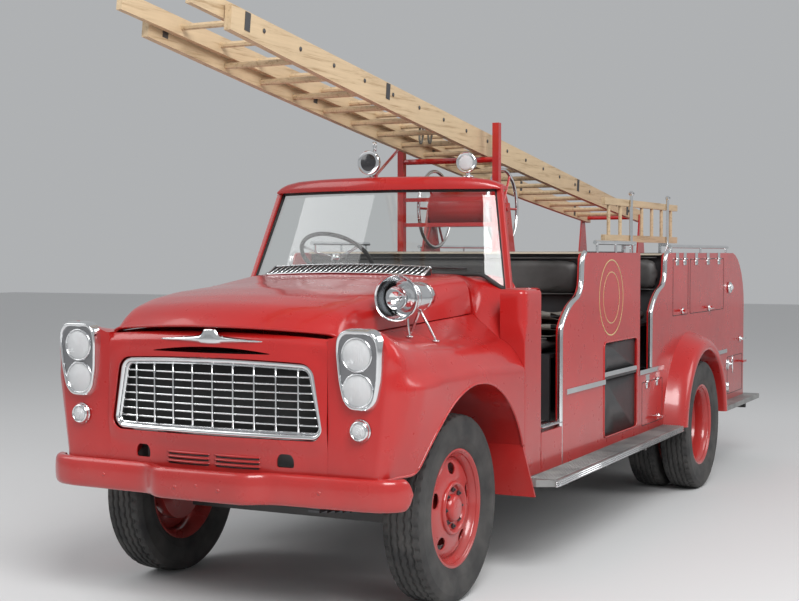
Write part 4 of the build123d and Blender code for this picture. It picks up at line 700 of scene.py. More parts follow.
# Headlamps and parking lamps: bright bowl, rim ring and a domed fluted lens
lamp_rings, lamp_bowls, lamp_lenses, lamp_bulbs = [], [], [], []
for side in (-1, 1):
    for z in LAMP_ZS:
        front = BEZEL_Y - 0.026 - 0.06 * (z - BEZEL_LOW)
        centre = (side * LAMP_X, front + 0.012, z)
        lamp_rings.append(turned([(-0.004, 0.0700), (0.004, 0.0695), (0.009, 0.0715), (0.011, 0.0745),
                                  (0.009, 0.0775), (0.004, 0.0790), (-0.004, 0.0795)], centre, (0, -1, 0),
                                 64))
        bowl = [(-0.052 * (1 - (r / 0.070) ** 2), r) for r in np.linspace(0.070, 0.004, 12)]
        lamp_bowls.append(turned(bowl + [(-0.056, 0.004), (-0.056, 0.010), (-0.010, 0.074), (0.0, 0.0705)],
                                 centre, (0, -1, 0), 48))
        radii = np.linspace(0.0005, 0.0705, 26)
        lens = turned(coords(0.003 + 0.016 * (1 - (radii / 0.0705) ** 2), radii), centre, (0, -1, 0), 96)
        flute = np.where(radii < 0.064, 0.0007, 0.0)[:, None]
        lens[..., 1] -= flute * np.cos(2 * np.pi * lens[..., 0] / 0.0085)
        lamp_lenses.append(lens)
        lamp_bulbs.append(turned([(-0.050, 0.0005), (-0.046, 0.007), (-0.030, 0.009), (-0.022, 0.006),
                                  (-0.020, 0.0005)], centre, (0, -1, 0), 16))
    centre = (side * 0.780, FA - 0.797, 0.930)
    lamp_rings.append(turned([(0.0, 0.0350), (0.020, 0.0355), (0.026, 0.0375), (0.027, 0.0410),
                              (0.022, 0.0450), (0.014, 0.0475), (0.008, 0.0485), (0.006, 0.0515),
                              (0.0, 0.0530)], centre, (0, -1, 0), 56))
    lens = [(0.020 + 0.012 * (1 - (r / 0.0352) ** 2) + 0.0012 * math.cos(2 * math.pi * r / 0.0085), r)
            for r in np.linspace(0.0005, 0.0352, 28)]
    lamp_lenses.append(turned(lens, centre, (0, -1, 0), 56))
    lamp_bowls.append(turned([(0.004, 0.034), (0.002, 0.020), (0.0, 0.004), (-0.002, 0.004), (-0.002, 0.036),
                              (0.004, 0.036)], centre, (0, -1, 0), 40))
joined("lamp_rings", lamp_rings, "chrome", wrapped=True)
joined("lamp_reflectors", lamp_bowls, "chrome", wrapped=True)
lenses = joined("lamp_domes", lamp_lenses, "lamp_glass", open_ends=True, facing=(0, -1, 0))
thicken(lenses, 0.0025, 50)
joined("lamp_bulbs", lamp_bulbs, "lamp_glass")
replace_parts(lenses, "lamp_lenses")

# Bonnet: one crowned pressing, its front lip rolled and bowed
BONNET = (  # y behind the axle; x, z of the seam, side and top; crown z
    (-0.842, 0.625, 1.3353, 0.618, 1.347, 0.575, 1.355, 1.381),
    (-0.790, 0.626, 1.337, 0.618, 1.375, 0.560, 1.412, 1.438),
    (-0.710, 0.629, 1.339, 0.619, 1.410, 0.545, 1.457, 1.482),
    (-0.560, 0.634, 1.343, 0.622, 1.438, 0.545, 1.492, 1.518),
    (-0.340, 0.643, 1.350, 0.628, 1.455, 0.550, 1.519, 1.546),
    (0.0, 0.660, 1.365, 0.645, 1.475, 0.560, 1.541, 1.570),
    (0.440, 0.689, 1.386, 0.672, 1.525, 0.590, 1.590, 1.606),
    (0.596, 0.700, 1.396, 0.684, 1.545, 0.600, 1.600, 1.611))
SEAM_GAP = 0.004
bonnet_sections = []
for y, seam_x, seam_z, side_x, side_z, top_x, top_z, crown_z in BONNET:
    shoulder = (side_x - 0.3 * (side_x - top_x), side_z + 0.7 * (top_z - side_z))
    right = [(seam_x, seam_z + SEAM_GAP), (side_x, side_z), shoulder]
    crown = arc_through((top_x, top_z), (0, crown_z), (-top_x, top_z), 33)
    outline = np.vstack([right, crown, [(-x, z) for x, z in reversed(right)]])
    bow = 0.100 * min(1, max(0, (-0.300 - y) / 0.542))
    section = coords(outline[:, 0], FA + y + bow * (outline[:, 0] / NOSE_X) ** 2, outline[:, 1])
    bonnet_sections.append(eased(evenly(section, 241), 4.0))
stations = np.array([row[0] for row in BONNET])
grid = along_stations(stations, bonnet_sections, np.linspace(stations[0], stations[-1], 121))
grid = eased(grid, 2.2)[:, ::2]
bonnet_skin = skin("bonnet_pressing", grid, "red_paint", body="bonnet_panel", facing=(0, 0, 1))
lip_path = grid[0] + (0, 0.004, 0.001)
joined("bonnet_lip", [tube_grid(lip_path, 0.006, 10)], "red_paint", body="bonnet_panel")
thicken(bonnet_skin, 0.010)
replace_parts(bonnet_skin, "bonnet")
hinge_path = coords(np.array((-0.12, -0.04, 0.04, 0.12)), FA + 0.600, 1.603)
joined("bonnet_hinge", [tube_grid(hinge_path, 0.0072, 16)], "black_paint", body="bonnet_panel")

# Wings: closed pressings with the wheel arch cut out of them and a rolled arch edge
WINGS = (  # y behind the axle; x, z of the seam, crown, bend, ledge and flare; x at the bottom
    (-0.795, 0.629, 1.335, 0.790, 1.388, 0.885, 1.345, 0.897, 1.205, 0.895, 1.110, 0.855),
    (-0.785, 0.630, 1.335, 0.792, 1.386, 0.905, 1.335, 0.926, 1.203, 0.926, 1.110, 0.880),
    (-0.755, 0.631, 1.336, 0.796, 1.381, 0.920, 1.322, 0.948, 1.198, 0.954, 1.110, 0.895),
    (-0.700, 0.633, 1.338, 0.805, 1.360, 0.930, 1.298, 0.958, 1.188, 0.982, 1.110, 0.905),
    (-0.600, 0.637, 1.340, 0.820, 1.335, 0.930, 1.272, 0.963, 1.178, 1.003, 1.118, 0.930),
    (-0.400, 0.645, 1.346, 0.825, 1.305, 0.932, 1.247, 0.964, 1.180, 1.003, 1.140, 0.975),
    (0.0, 0.666, 1.363, 0.832, 1.285, 0.930, 1.228, 0.964, 1.185, 1.003, 1.148, 1.003),
    (0.6077, 0.705, 1.394, 0.850, 1.272, 0.938, 1.212, 0.970, 1.160, 1.003, 1.118, 1.003))
WING_INNER, WING_BOTTOM, ARCH_R, ARCH_Y = 0.6103, 0.712, 0.620, 0.020
tops = []
for y, sx, sz, cx, cz, bx, bz, lx, lz, fx, fz, bottom_x in WINGS:
    shoulder = arc_through((cx, cz), (bx, bz), (lx, lz), 17)
    outline = np.vstack([[(sx, sz)], shoulder, [(fx, fz), (bottom_x, WING_BOTTOM)]])
    tops.append(eased(evenly(outline, 201), 3.2))
wing_stations = np.array([row[0] for row in WINGS])
reach = math.sqrt(ARCH_R**2 - (WING_BOTTOM - AXLE_Z) ** 2)
wing_at = np.unique(np.concatenate([np.linspace(-0.795, -0.70, 14), np.linspace(-0.70, ARCH_Y - reach, 10),
                                    ARCH_Y + reach * np.sin(np.linspace(-np.pi / 2, np.pi / 2, 90)),
                                    np.linspace(ARCH_Y + reach, 0.6077, 4)]))
even_at = np.linspace(-0.795, 0.6077, 161)
smooth_tops = eased(along_stations(wing_stations, tops, even_at), 1.6)
smooth_tops[0] = tops[0]
outer = along_stations(even_at, smooth_tops, wing_at)
inside_arch = ARCH_R**2 - (wing_at - ARCH_Y) ** 2
arch_z = AXLE_Z + np.sqrt(np.maximum(inside_arch, 0))
corner_blend = np.where(wing_at < 0, 0.050, 0.0)
arch_z = 0.5 * (arch_z + WING_BOTTOM + np.sqrt((arch_z - WING_BOTTOM) ** 2 + corner_blend**2))
arch_z = np.where(wing_at < ARCH_Y - reach - 0.16, WING_BOTTOM, np.maximum(arch_z, WING_BOTTOM))
loops = []
for y, line, low in zip(wing_at, outer, arch_z):
    crest = int(np.argmax(line[:, 1]))
    cut_x = np.interp(-low, -line[crest:, 1], line[crest:, 0])
    kept = np.vstack([line[line[:, 1] > low + 1e-6], [(cut_x, low)]])
    shell_line = evenly(kept, 81)
    under = coords(np.linspace(cut_x, WING_INNER, 13)[1:], low)
    wall = coords(WING_INNER, np.linspace(low, line[0, 1], 10)[1:])
    loop = np.vstack([shell_line, under, wall])
    loops.append(coords(loop[:, 0], FA + y, loop[:, 1]))
wing = np.stack(loops)
wings = joined("wing_pressings", mirrored(wing), "red_paint")
sharpen(wings, 42)
joined("wing_arch_rims", mirrored(tube_grid(wing[:, 80] - (0.003, 0, 0), 0.0075, 10)), "red_paint")
splash = np.array([(0.620, 0.440), (1.070, 0.440), (1.003, 0.690), (1.003, WING_BOTTOM),
                   (0.620, WING_BOTTOM)])
splash_grid = np.stack([coords(splash[:, 0], FA + y, splash[:, 1]) for y in (0.5895, 0.6035)])
joined("splash_panels", mirrored(splash_grid), "red_paint", smooth=False)
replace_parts(wings, "front_wings")

# Tyres: bulged sides with rings, ribs cut by zigzag grooves and notched shoulders
SIDE_WALL = ((0.073, 0.288), (0.083, 0.295), (0.090, 0.312), (0.0965, 0.330), (0.0985, 0.3335),
             (0.1005, 0.337), (0.104, 0.365), (0.1055, 0.395), (0.1045, 0.420), (0.1055, 0.423),
             (0.1045, 0.426), (0.099, 0.444), (0.092, 0.455))
TREAD_HALF = 0.087


def tyre_grid(centre):
    """Tyre about the x axis: radius falls where a zigzag groove or a shoulder notch crosses the tread."""
    side = np.array(SIDE_WALL)
    across = np.linspace(TREAD_HALF, -TREAD_HALF, 47)
    crown = 0.465 - 0.006 * np.abs(across / TREAD_HALF) ** 3
    profile = np.vstack([side, coords(across, crown), side[::-1] * (-1, 1)])
    a, r = profile[:, 0, None], profile[:, 1, None]
    t = np.linspace(0, 2 * np.pi, 300, endpoint=False)[None]
    wave = 0.0045 * (2 / np.pi) * np.arcsin(np.sin(50 * t))
    cut = np.zeros((len(profile), 300))
    for groove in (-0.052, -0.018, 0.018, 0.052):
        cut = np.maximum(cut, np.clip((0.0062 - np.abs(a - groove - wave)) / 0.002, 0, 1))
    notch = (np.sin(50 * t) > 0.25) & (np.abs(a) > 0.066) & (r > 0.45)
    cut = np.maximum(cut, 0.8 * notch)
    radius = r - 0.009 * cut * (np.abs(a) < 0.0915)
    return np.asarray(centre) + coords(a, radius * np.cos(t), radius * np.sin(t))


def add_tyre(name, centres, body, node_name):
    """One or two tyres as one piece, with the bands that close them on the rim."""
    inner = [turned([(-0.073, 0.2875), (0.073, 0.2875)], c, (1, 0, 0), 60) for c in centres]
    made = joined(name, [tyre_grid(c) for c in centres] + inner, "tyre", body, open_ends=True)
    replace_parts(sharpen(made, 38), node_name)


# Wheels: rolled rim, dished disc with hand holes, raised hub ring with its nuts
SIDES = (("left", 1), ("right", -1))
RIM_FACE = ((-0.078, 0.294), (-0.081, 0.288), (-0.076, 0.279), (-0.060, 0.262), (-0.030, 0.250),
            (0.028, 0.250), (0.050, 0.258), (0.060, 0.268), (0.066, 0.2725), (0.070, 0.272), (0.073, 0.276),
            (0.077, 0.2785), (0.082, 0.284), (0.083, 0.289), (0.079, 0.2945))
RIM_BACK = tuple((a * 0.985, r + 0.004) for a, r in reversed(RIM_FACE[1:-1]))


def rim_grid(x, y, side, out):
    """Rim turned about the axle, its open side facing out."""
    return turned(RIM_FACE + RIM_BACK, (x, y, AXLE_Z), (side * out, 0, 0), 96)


def disc_piece(name, x, y, side, body, dish, holes, hole_r, hole_at):
    """Dished disc pierced by hand holes; dish is (radius, distance outward) pairs."""
    ring = circle((0, 0), dish[-1][0], 96)
    openings = [circle((0, 0), dish[0][0], 64)]
    for k in range(holes):
        angle = 2 * math.pi * (k + 0.25) / holes
        turn = np.array([[math.cos(angle), math.sin(angle)], [-math.sin(angle), math.cos(angle)]])
        spot = (hole_at * math.cos(angle), hole_at * math.sin(angle))
        openings.append(circle((0, 0), hole_r, 32, (0.86, 1.12)) @ turn + spot)
    flat, triangles = pierced(ring, openings, 0.012)
    radius = np.linalg.norm(flat, axis=1)
    samples = np.linspace(dish[0][0], dish[-1][0], 60)
    curve = eased(np.interp(samples, [r for r, _ in dish], [d for _, d in dish])[:, None], 3.0)[:, 0]
    out = np.interp(radius, samples, curve)
    lip = np.min([np.abs(np.linalg.norm(flat - o.mean(0), axis=1) - hole_r) for o in openings[1:]], axis=0)
    out = out - 0.003 * np.clip(1 - lip / 0.010, 0, 1)
    points = coords(x + side * out, y + flat[:, 0], AXLE_Z + flat[:, 1])
    made = put(name, points, triangles, "red_paint", body, facing=(side, 0, 0))
    return thicken(made, 0.007)


def nuts(count, ring_r, start, height, size, x, y, side):
    """Six-sided nuts with stud ends in a ring round the axle."""
    grids = []
    for k in range(count):
        angle = 2 * math.pi * k / count
        centre = (x, y + ring_r * math.cos(angle), AXLE_Z + ring_r * math.sin(angle))
        grids.append(turned([(start, size), (start + height - 0.002, size), (start + height, size * 0.82),
                             (start + height, size * 0.5), (start + height + 0.008, size * 0.45)],
                            centre, (side, 0, 0), 6, angle))
    return grids


for place, side in SIDES:
    body = "road_wheel_front_" + place
    x, y = side * 0.805, FA
    rim = joined("front_rim_" + place, [rim_grid(x, y, side, 1)], "red_paint", body, wrapped=True)
    sharpen(rim, 50)
    disc_piece("front_disc_" + place, x, y, side, body, ((0.120, 0.064), (0.150, 0.062), (0.195, 0.056),
                                                         (0.228, 0.046), (0.2515, 0.028)), 5, 0.034, 0.196)
    hub = joined("front_hub_" + place,
                 [turned([(0.050, 0.134), (0.066, 0.1345), (0.074, 0.131), (0.078, 0.124), (0.076, 0.116),
                          (0.064, 0.110), (0.056, 0.104), (0.056, 0.070), (0.074, 0.066), (0.084, 0.058),
                          (0.087, 0.046), (0.088, 0.0005)], (x, y, AXLE_Z), (side, 0, 0), 72),
                  turned([(-0.055, 0.030), (-0.055, 0.185), (0.0, 0.190), (0.012, 0.182), (0.016, 0.060),
                          (0.045, 0.030)], (x, y, AXLE_Z), (side, 0, 0), 48)], "red_paint", body)
    sharpen(hub, 50)
    joined("front_nuts_" + place, nuts(8, 0.090, 0.054, 0.014, 0.0125, x, y, side), "spring_steel", body,
           smooth=False)
    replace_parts(rim, "wheel_front_" + place)
    add_tyre("front_tyre_" + place, [(x, y, AXLE_Z)], body, "tyre_front_" + place)
    body = "road_wheels_rear_" + place
    x, y = side * 0.887, RA
    rims = joined("rear_rims_" + place, [rim_grid(x + side * 0.125, y, side, 1),
                                         rim_grid(x - side * 0.125, y, side, -1)], "red_paint", body,
                  wrapped=True)
    sharpen(rims, 50)
    disc_piece("rear_disc_" + place, x, y, side, body,
               ((0.120, 0.010), (0.190, 0.014), (0.228, 0.030), (0.2515, 0.100)), 5, 0.034, 0.190)
    hub = joined("rear_hub_" + place,
                 [turned([(-0.010, 0.130), (0.014, 0.131), (0.020, 0.124), (0.020, 0.094), (0.070, 0.082),
                          (0.082, 0.074), (0.086, 0.060), (0.094, 0.054), (0.095, 0.0005)], (x, y, AXLE_Z),
                         (side, 0, 0), 72),
                  turned([(-0.070, 0.056), (-0.070, 0.200), (-0.012, 0.205), (-0.006, 0.150),
                          (-0.006, 0.056)], (x, y, AXLE_Z), (side, 0, 0), 48)], "red_paint", body)
    sharpen(hub, 50)
    joined("rear_nuts_" + place, nuts(8, 0.107, 0.018, 0.016, 0.0125, x, y, side)
           + nuts(8, 0.048, 0.094, 0.006, 0.007, x, y, side), "spring_steel", body, smooth=False)
    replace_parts(rims, "wheel_rear_" + place)
    add_tyre("rear_tyres_" + place, [(x + side * 0.125, y, AXLE_Z), (x - side * 0.125, y, AXLE_Z)], body,
             "tyre_rear_" + place)

# Windscreen: rolled header, upright pillars, a bowed pane in black rubber, two wipers
SCREEN_LOW, SCREEN_HIGH = (0.836, FA + 0.795, 1.500, 0.190), (0.705, FA + 0.964, 2.075, 0.150)
HEADER_TOPS = ((0.722, 2.094), (0.700, 2.112), (0.650, 2.130), (0.550, 2.144), (0.360, 2.150), (0.180, 2.152),
               (0.0, 2.153))
HEADER_Z = 2.0753
tops_x, tops_z = np.vstack([np.array(HEADER_TOPS) * (-1, 1), HEADER_TOPS[-2::-1]]).T
header_rows = []
for x in 0.722 * np.sin(np.linspace(-np.pi / 2, np.pi / 2, 81)):
    top = np.interp(x, tops_x, tops_z)
    front = SCREEN_HIGH[1] - 0.025 - 0.150 * (1 - (x / 0.722) ** 2)
    rise = top - HEADER_Z
    section = [(front + 0.012, 0.0), (front + 0.001, 0.02), (front, 0.22), (front + 0.001, 0.42),
               (front + 0.007, 0.68), (front + 0.018, 0.87), (front + 0.034, 0.97), (front + 0.055, 1.0),
               (front + 0.085, 0.975), (front + 0.106, 0.92), (front + 0.110, 0.84), (front + 0.110, 0.0)]
    header_rows.append([(x, y, HEADER_Z + rise * share) for y, share in section])
header = eased(np.array(header_rows), 0.8)
pillars = []
for side in (-1, 1):
    foot = np.array((side * 0.836, FA + 0.809, 1.495))
    head = np.array((side * 0.705, FA + 0.978, 2.100))
    square = round_loop([(-0.017, -0.017), (0.017, -0.017), (0.017, 0.017), (-0.017, 0.017)], 24, 0.8)
    pillars.append(np.stack([coords(p[0] + square[:, 0], p[1] + square[:, 1], p[2])
                             for p in (foot, (foot + head) / 2, head)]))
frame_piece = joined("windscreen_header", [header, *pillars], "red_paint")
sharpen(frame_piece, 50)
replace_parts(frame_piece, "windscreen_frame")


def pane_points(share, across, set_back=0.012):
    """Point of the bowed pane: share up its height, across from -1 to 1."""
    half = (1 - share) * (SCREEN_LOW[0] - 0.019) + share * (SCREEN_HIGH[0] - 0.019)
    end_y = (1 - share) * SCREEN_LOW[1] + share * SCREEN_HIGH[1]
    bow = (1 - share) * SCREEN_LOW[3] + share * SCREEN_HIGH[3]
    z = (1 - share) * SCREEN_LOW[2] + share * SCREEN_HIGH[2]
    return coords(half * across, end_y + set_back - bow * (1 - across**2), z)


COWL_CROWN, PANE_TOP = 1.6135, 0.992


def pane_foot(across):
    """Share of the height at which the pane leaves the crowned scuttle."""
    z = COWL_CROWN - 0.014 * np.abs(across) ** 2 - 0.085 * np.clip(np.abs(across) - 0.86, 0, 1) / 0.14
    return (z - SCREEN_LOW[2]) / (SCREEN_HIGH[2] - SCREEN_LOW[2])


across = np.linspace(-1, 1, 65)
t = np.linspace(0, 1, 9)[:, None]
pane_grid = pane_points(pane_foot(across) * (1 - t) + t, across)
pane = skin("windscreen_pane", pane_grid, "clear_glass", facing=(0, -1, 0))
thicken(pane, 0.006)
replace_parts(pane, "windscreen_glass")
foot_line = pane_points(pane_foot(across), across, 0.010)
head_line = pane_points(PANE_TOP, across, 0.010)
left_line = pane_points(np.linspace(pane_foot(1.0), PANE_TOP, 21), 1.0, 0.010)
rubber_lines = [tube_grid(foot_line, 0.012, 10), tube_grid(head_line, 0.009, 8),
                tube_grid(left_line, 0.010, 10), tube_grid(left_line * (-1, 1, 1), 0.010, 10)]
joined("windscreen_rubber", rubber_lines, "rubber_black")
wipers = []
for x0, x1 in ((-0.52, -0.06), (0.20, 0.64)):
    run = np.linspace(x0, x1, 17) / SCREEN_LOW[0]
    share = pane_foot(run) + 0.055
    blade = pane_points(share, run, -0.006)
    wipers.append(tube_grid(blade, 0.006, 8))
    middle = blade[8]
    foot = pane_points(pane_foot(run[4]) + 0.005, run[4], -0.020)
    arm = smooth_path([foot, (foot + middle) / 2 + (0, -0.012, 0.006), middle + (0, -0.008, 0)], 9)
    wipers.append(tube_grid(arm, 0.005, 8))
    wipers.append(turned([(-0.004, 0.0005), (-0.004, 0.016), (0.012, 0.014), (0.018, 0.008), (0.018, 0.0005)],
                         foot, (0, -0.6, 0.8), 20))
joined("wipers", wipers, "black_paint")

# Air intake ahead of the windscreen: a low ramp of slanted slats in a bright frame
VENT_HALF, VENT_STEPS, SLATS = 0.488, 61, 31
vent_x = np.linspace(-VENT_HALF, VENT_HALF, VENT_STEPS)
crown = 0.014 * (1 - (vent_x / VENT_HALF) ** 2)
VENT_EDGES = ((0.447, 1.5990), (0.540, 1.6440), (0.546, 1.5940), (0.450, 1.5900))
vent_front, vent_back, vent_foot, vent_keel = (coords(vent_x, FA + y, z + crown) for y, z in VENT_EDGES)
sink = np.array((0, 0, 0.004))
trough = np.stack([vent_front - sink, vent_back - sink, vent_foot, vent_keel], 1)
# Painted shade: the trough under the slats is near-black
joined("vent_trough", [trough], "core_dark", "bonnet_panel", smooth=False)
ends = [np.linspace(vent_front[k], vent_back[k], 5) for k in (0, -1)]
vent = [tube_grid(line, 0.0045, 8) for line in (vent_front, vent_back, *ends)]
even_steps = np.linspace(0, 1, VENT_STEPS)
for k in range(SLATS):
    share = (k + 0.5) / SLATS
    start = along_stations(even_steps, vent_front, [share])[0]
    end = along_stations(even_steps, vent_back, [min(1, share + 0.026)])[0]
    vent.append(tube_grid(np.linspace(start, end, 3), 0.0048, 6))
joined("vent_slats", vent, "chrome", "bonnet_panel")
back_panel = np.stack([vent_back + (0, 0.002, 0), vent_foot + (0, 0.004, 0), vent_foot - sink,
                       vent_back + (0, -0.001, -0.002)], 1)
joined("vent_back", [back_panel], "red_paint", "bonnet_panel", smooth=False)

# Siren: a flared bell round an inner horn, on a drum body with its stand
SIREN = (0.762, FA - 0.423, 1.509)
bell = [(0.0, 0.110), (-0.004, 0.113), (-0.012, 0.112), (-0.040, 0.102), (-0.070, 0.084), (-0.090, 0.072),
        (-0.100, 0.066), (-0.102, 0.060), (-0.070, 0.066), (-0.040, 0.088), (-0.012, 0.103), (-0.003, 0.106)]
inner_horn = [(-0.006, 0.052), (-0.010, 0.056), (-0.016, 0.055), (-0.060, 0.040), (-0.100, 0.034),
              (-0.100, 0.0005), (-0.060, 0.0005), (-0.044, 0.014), (-0.040, 0.024), (-0.024, 0.044)]
body_profile = [(-0.092, 0.062), (-0.100, 0.068), (-0.112, 0.0705), (-0.180, 0.0705), (-0.250, 0.0700),
                (-0.290, 0.0675), (-0.318, 0.0590), (-0.334, 0.0450), (-0.342, 0.0280), (-0.345, 0.0005),
                (-0.092, 0.0005)]
siren = joined("siren_bell", [turned(bell, SIREN, (0, -1, 0), 72)], "chrome", wrapped=True)
sharpen(siren, 60)
drum = joined("siren_body", [turned(body_profile, SIREN, (0, -1, 0), 56),
                             turned(inner_horn, SIREN, (0, -1, 0), 48)], "chrome", wrapped=True)
sharpen(drum, 60)
bands = [turned([(a - 0.004, r), (a - 0.004, r + 0.003), (a + 0.004, r + 0.003), (a + 0.004, r)], SIREN,
                (0, -1, 0), 56) for a, r in ((-0.130, 0.0700), (-0.250, 0.0690))]
stand = []
for y, x_low in ((SIREN[1] + 0.262, 0.842), (SIREN[1] + 0.262, 0.700), (SIREN[1] + 0.120, 0.770)):
    z_low = 1.296 if x_low > 0.8 else 1.322
    leg = smooth_path([(x_low, y + 0.012, z_low), (0.5 * (x_low + SIREN[0]), y + 0.004, 1.375),
                       (SIREN[0], y, SIREN[2] - 0.064)], 9)
    stand.append(tube_grid(leg, 0.007, 8))
    stand.append(turned([(0.0, 0.0005), (0.0, 0.020), (0.005, 0.018), (0.008, 0.0005)],
                        (x_low, y + 0.012, z_low - 0.002), (0, 0, 1), 20))
joined("siren_bands_and_stand", bands + stand, "chrome")
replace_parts(siren, "siren")

# Roof lamps: a warning lamp with a blank dark face and a bright spotlight
HEADER_CROWN = 2.153
lamp_cans = []
for x, y, radius, kind in ((-0.050, FA + 0.870, 0.068, "dark"), (0.520, FA + 0.960, 0.058, "bright")):
    z = HEADER_CROWN + 0.016 + radius
    centre = (x, y - 0.030, z)
    lamp_cans.append(turned([(0.000, radius - 0.010), (0.003, radius - 0.002), (0.001, radius + 0.001),
                             (-0.008, radius + 0.001), (-0.012, radius - 0.003), (-0.030, radius - 0.004),
                             (-0.052, radius - 0.022), (-0.062, radius * 0.3), (-0.063, 0.0005),
                             (-0.020, 0.0005), (-0.020, radius - 0.012)], centre, (0, -1, 0), 56))
    lamp_cans.append(tube_grid([(x, y, HEADER_CROWN - 0.012), (x, y, z - radius * 0.6)], 0.012, 14))
    lamp_cans.append(turned([(0.0, 0.0005), (0.0, 0.034), (0.006, 0.032), (0.012, 0.018), (0.016, 0.0005)],
                            (x, y, HEADER_CROWN - 0.006), (0, 0, 1), 32))
    dome = [(-0.003 + 0.010 * (1 - (r / (radius - 0.009)) ** 2), r)
            for r in np.linspace(0.0005, radius - 0.009, 16)]
    dome += [(-0.012, radius - 0.009), (-0.014, 0.0005)]
    joined("roof_lamp_face_" + kind, [turned(dome, centre, (0, -1, 0), 48)],
           "dark_glass" if kind == "dark" else "lamp_glass", wrapped=True)
cans = joined("roof_lamp_cans", lamp_cans, "chrome")
sharpen(cans, 50)
reflector = [(-0.008, 0.046), (-0.016, 0.034), (-0.019, 0.014), (-0.019, 0.0005), (-0.022, 0.0005),
             (-0.020, 0.047)]
joined("spotlight_reflector", [turned(reflector, (0.520, FA + 0.930, 2.227), (0, -1, 0), 40)], "chrome",
       wrapped=True)
finial = [(0.0, 0.010), (0.020, 0.009), (0.030, 0.012), (0.052, 0.012), (0.056, 0.006), (0.056, 0.0005)]
joined("warning_lamp_finial", [turned(finial, (-0.030, FA + 0.880, 2.302), (0, 0, 1), 16)], "chrome")
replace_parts(cans, "roof_lamps")

# Steering wheel: round rim on three sprung spokes
RAKE = math.radians(40)
HUB = np.array((-0.440, FA + 1.170, 1.690))
steer_axis = np.array((0, math.sin(RAKE), math.cos(RAKE)))
steer_across = np.array((1.0, 0, 0))
steer_up = np.cross(steer_axis, steer_across)


def steer_point(r, angle, lift=0.0):
    """Point of the steering wheel by radius, angle and lift along its column."""
    return HUB + r * (math.cos(angle) * steer_across + math.sin(angle) * steer_up) + lift * steer_axis


rim_path = np.array([steer_point(0.225, a) for a in np.linspace(0, 2 * math.pi, 80, endpoint=False)])
wheel_rim = joined("steering_rim", [tube_grid(rim_path, 0.0125, 12, closed=True)], "rubber_black",
                   "steering_handwheel", wrapped=True)
spokes = []
for k in range(3):
    angle = math.pi / 2 + 2 * math.pi * k / 3
    for off in (-0.06, 0.06):
        spokes.append(tube_grid([steer_point(0.026, angle + off * 3, -0.004),
                                 steer_point(0.120, angle + off * 0.7, -0.008),
                                 steer_point(0.222, angle + off * 0.5, 0.0)], 0.0042, 8))
spokes.append(turned([(-0.030, 0.0005), (-0.030, 0.024), (-0.004, 0.034), (0.008, 0.034), (0.016, 0.026),
                      (0.020, 0.012), (0.021, 0.0005)], HUB, steer_axis, 32))
joined("steering_spokes", spokes, "chrome", "steering_handwheel")
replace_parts(wheel_rim, "steering_wheel")

# Hose reel: hoops on a spoked drum
REEL = np.array((0.0, FA + 2.140, 2.010))
reel_grids, hoop_grids = [], []
t = np.linspace(0, 2 * math.pi, 72, endpoint=False)
for side in (-1, 1):
    x = side * 0.240
    hoop = coords(x, REEL[1] + 0.250 * np.cos(t), REEL[2] + 0.250 * np.sin(t))
    hoop_grids.append(tube_grid(hoop, 0.0115, 12, closed=True))
    for k in range(6):
        angle = 2 * math.pi * k / 6
        reel_grids.append(tube_grid([(x, REEL[1] + r * math.cos(angle), REEL[2] + r * math.sin(angle))
                                     for r in (0.03, 0.14, 0.248)], 0.008, 8))
    reel_grids.append(turned([(0.0, 0.0005), (0.0, 0.060), (0.012, 0.058), (0.020, 0.030), (0.044, 0.022),
                              (0.046, 0.0005)], (x, REEL[1], REEL[2]), (side, 0, 0), 32))
reel_grids.append(turned([(-0.236, 0.0005), (-0.236, 0.1195), (0.236, 0.1195), (0.236, 0.0005)], REEL,
                         (1, 0, 0), 48))
hoops = joined("reel_hoops", hoop_grids, "chrome", "reel", wrapped=True)
reel_body = joined("reel_drum_and_spokes", reel_grids, "red_paint", "reel")
sharpen(reel_body, 40)
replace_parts(hoops, "hose_reel")


# Body side: bright beads along the swept edges, doorway treads, blank crest rings, handles, marker lamps
def swept(y, z0, z1, z_top, turn):
    """Front edge of a side panel: upright, swept back, then up into the top."""
    knee, neck = (y + turn * 0.62, z1 + 0.160), (y + turn * 0.86, z1 + 0.290)
    sweep = arc_through((y, z1), (y + turn * 0.25, z1 + 0.095), knee, 14)
    climb = arc_through(knee, (y + turn * 0.80, z1 + 0.205), neck, 9)[1:]
    crest = arc_through((y + turn * 0.88, z_top - 0.045), (y + turn * 0.92, z_top - 0.012), (y + turn, z_top),
                        8)
    line = np.vstack([[(y, z0)], sweep, climb, crest])
    return eased(evenly(line, 141), 2.5)


beads = []
for line in (swept(FA + 1.186, 0.534, 1.297, 1.723, 0.410), swept(FA + 2.946, 0.938, 1.325, 1.723, 0.395)):
    path = coords(0.9885, line[:, 0], line[:, 1])
    beads.append(tube_grid(path, 0.0155, 14))
joined("swept_edge_beads", mirrored(*beads), "chrome")
treads = [bar_grid((0.900, FA + 0.862, 0.7655), (1.008, FA + 1.178, 0.773), 0.003),
          bar_grid((0.930, FA + 2.668, 0.9365), (1.008, FA + 2.942, 0.944), 0.003),
          bar_grid((0.9985, FA + 1.925, 0.960), (1.0065, FA + 2.592, 0.990), 0.003)]
for k in range(8):
    treads.append(bar_grid((0.906 + 0.0125 * k, FA + 0.864, 0.7725), (0.912 + 0.0125 * k, FA + 1.176, 0.7755),
                           0.001))
joined("doorway_treads", mirrored(*treads), "chrome", smooth=False)
opening_line = round_loop([(FA + 1.922, 0.590), (FA + 2.595, 0.590), (FA + 2.595, 1.175),
                           (FA + 1.922, 1.175)], 160, 1.6)
opening_path = coords(1.0025, opening_line[:, 0], opening_line[:, 1])
rims = tube_grid(opening_path, 0.006, 8, closed=True)
joined("step_opening_rims", mirrored(rims), "red_paint", wrapped=True)

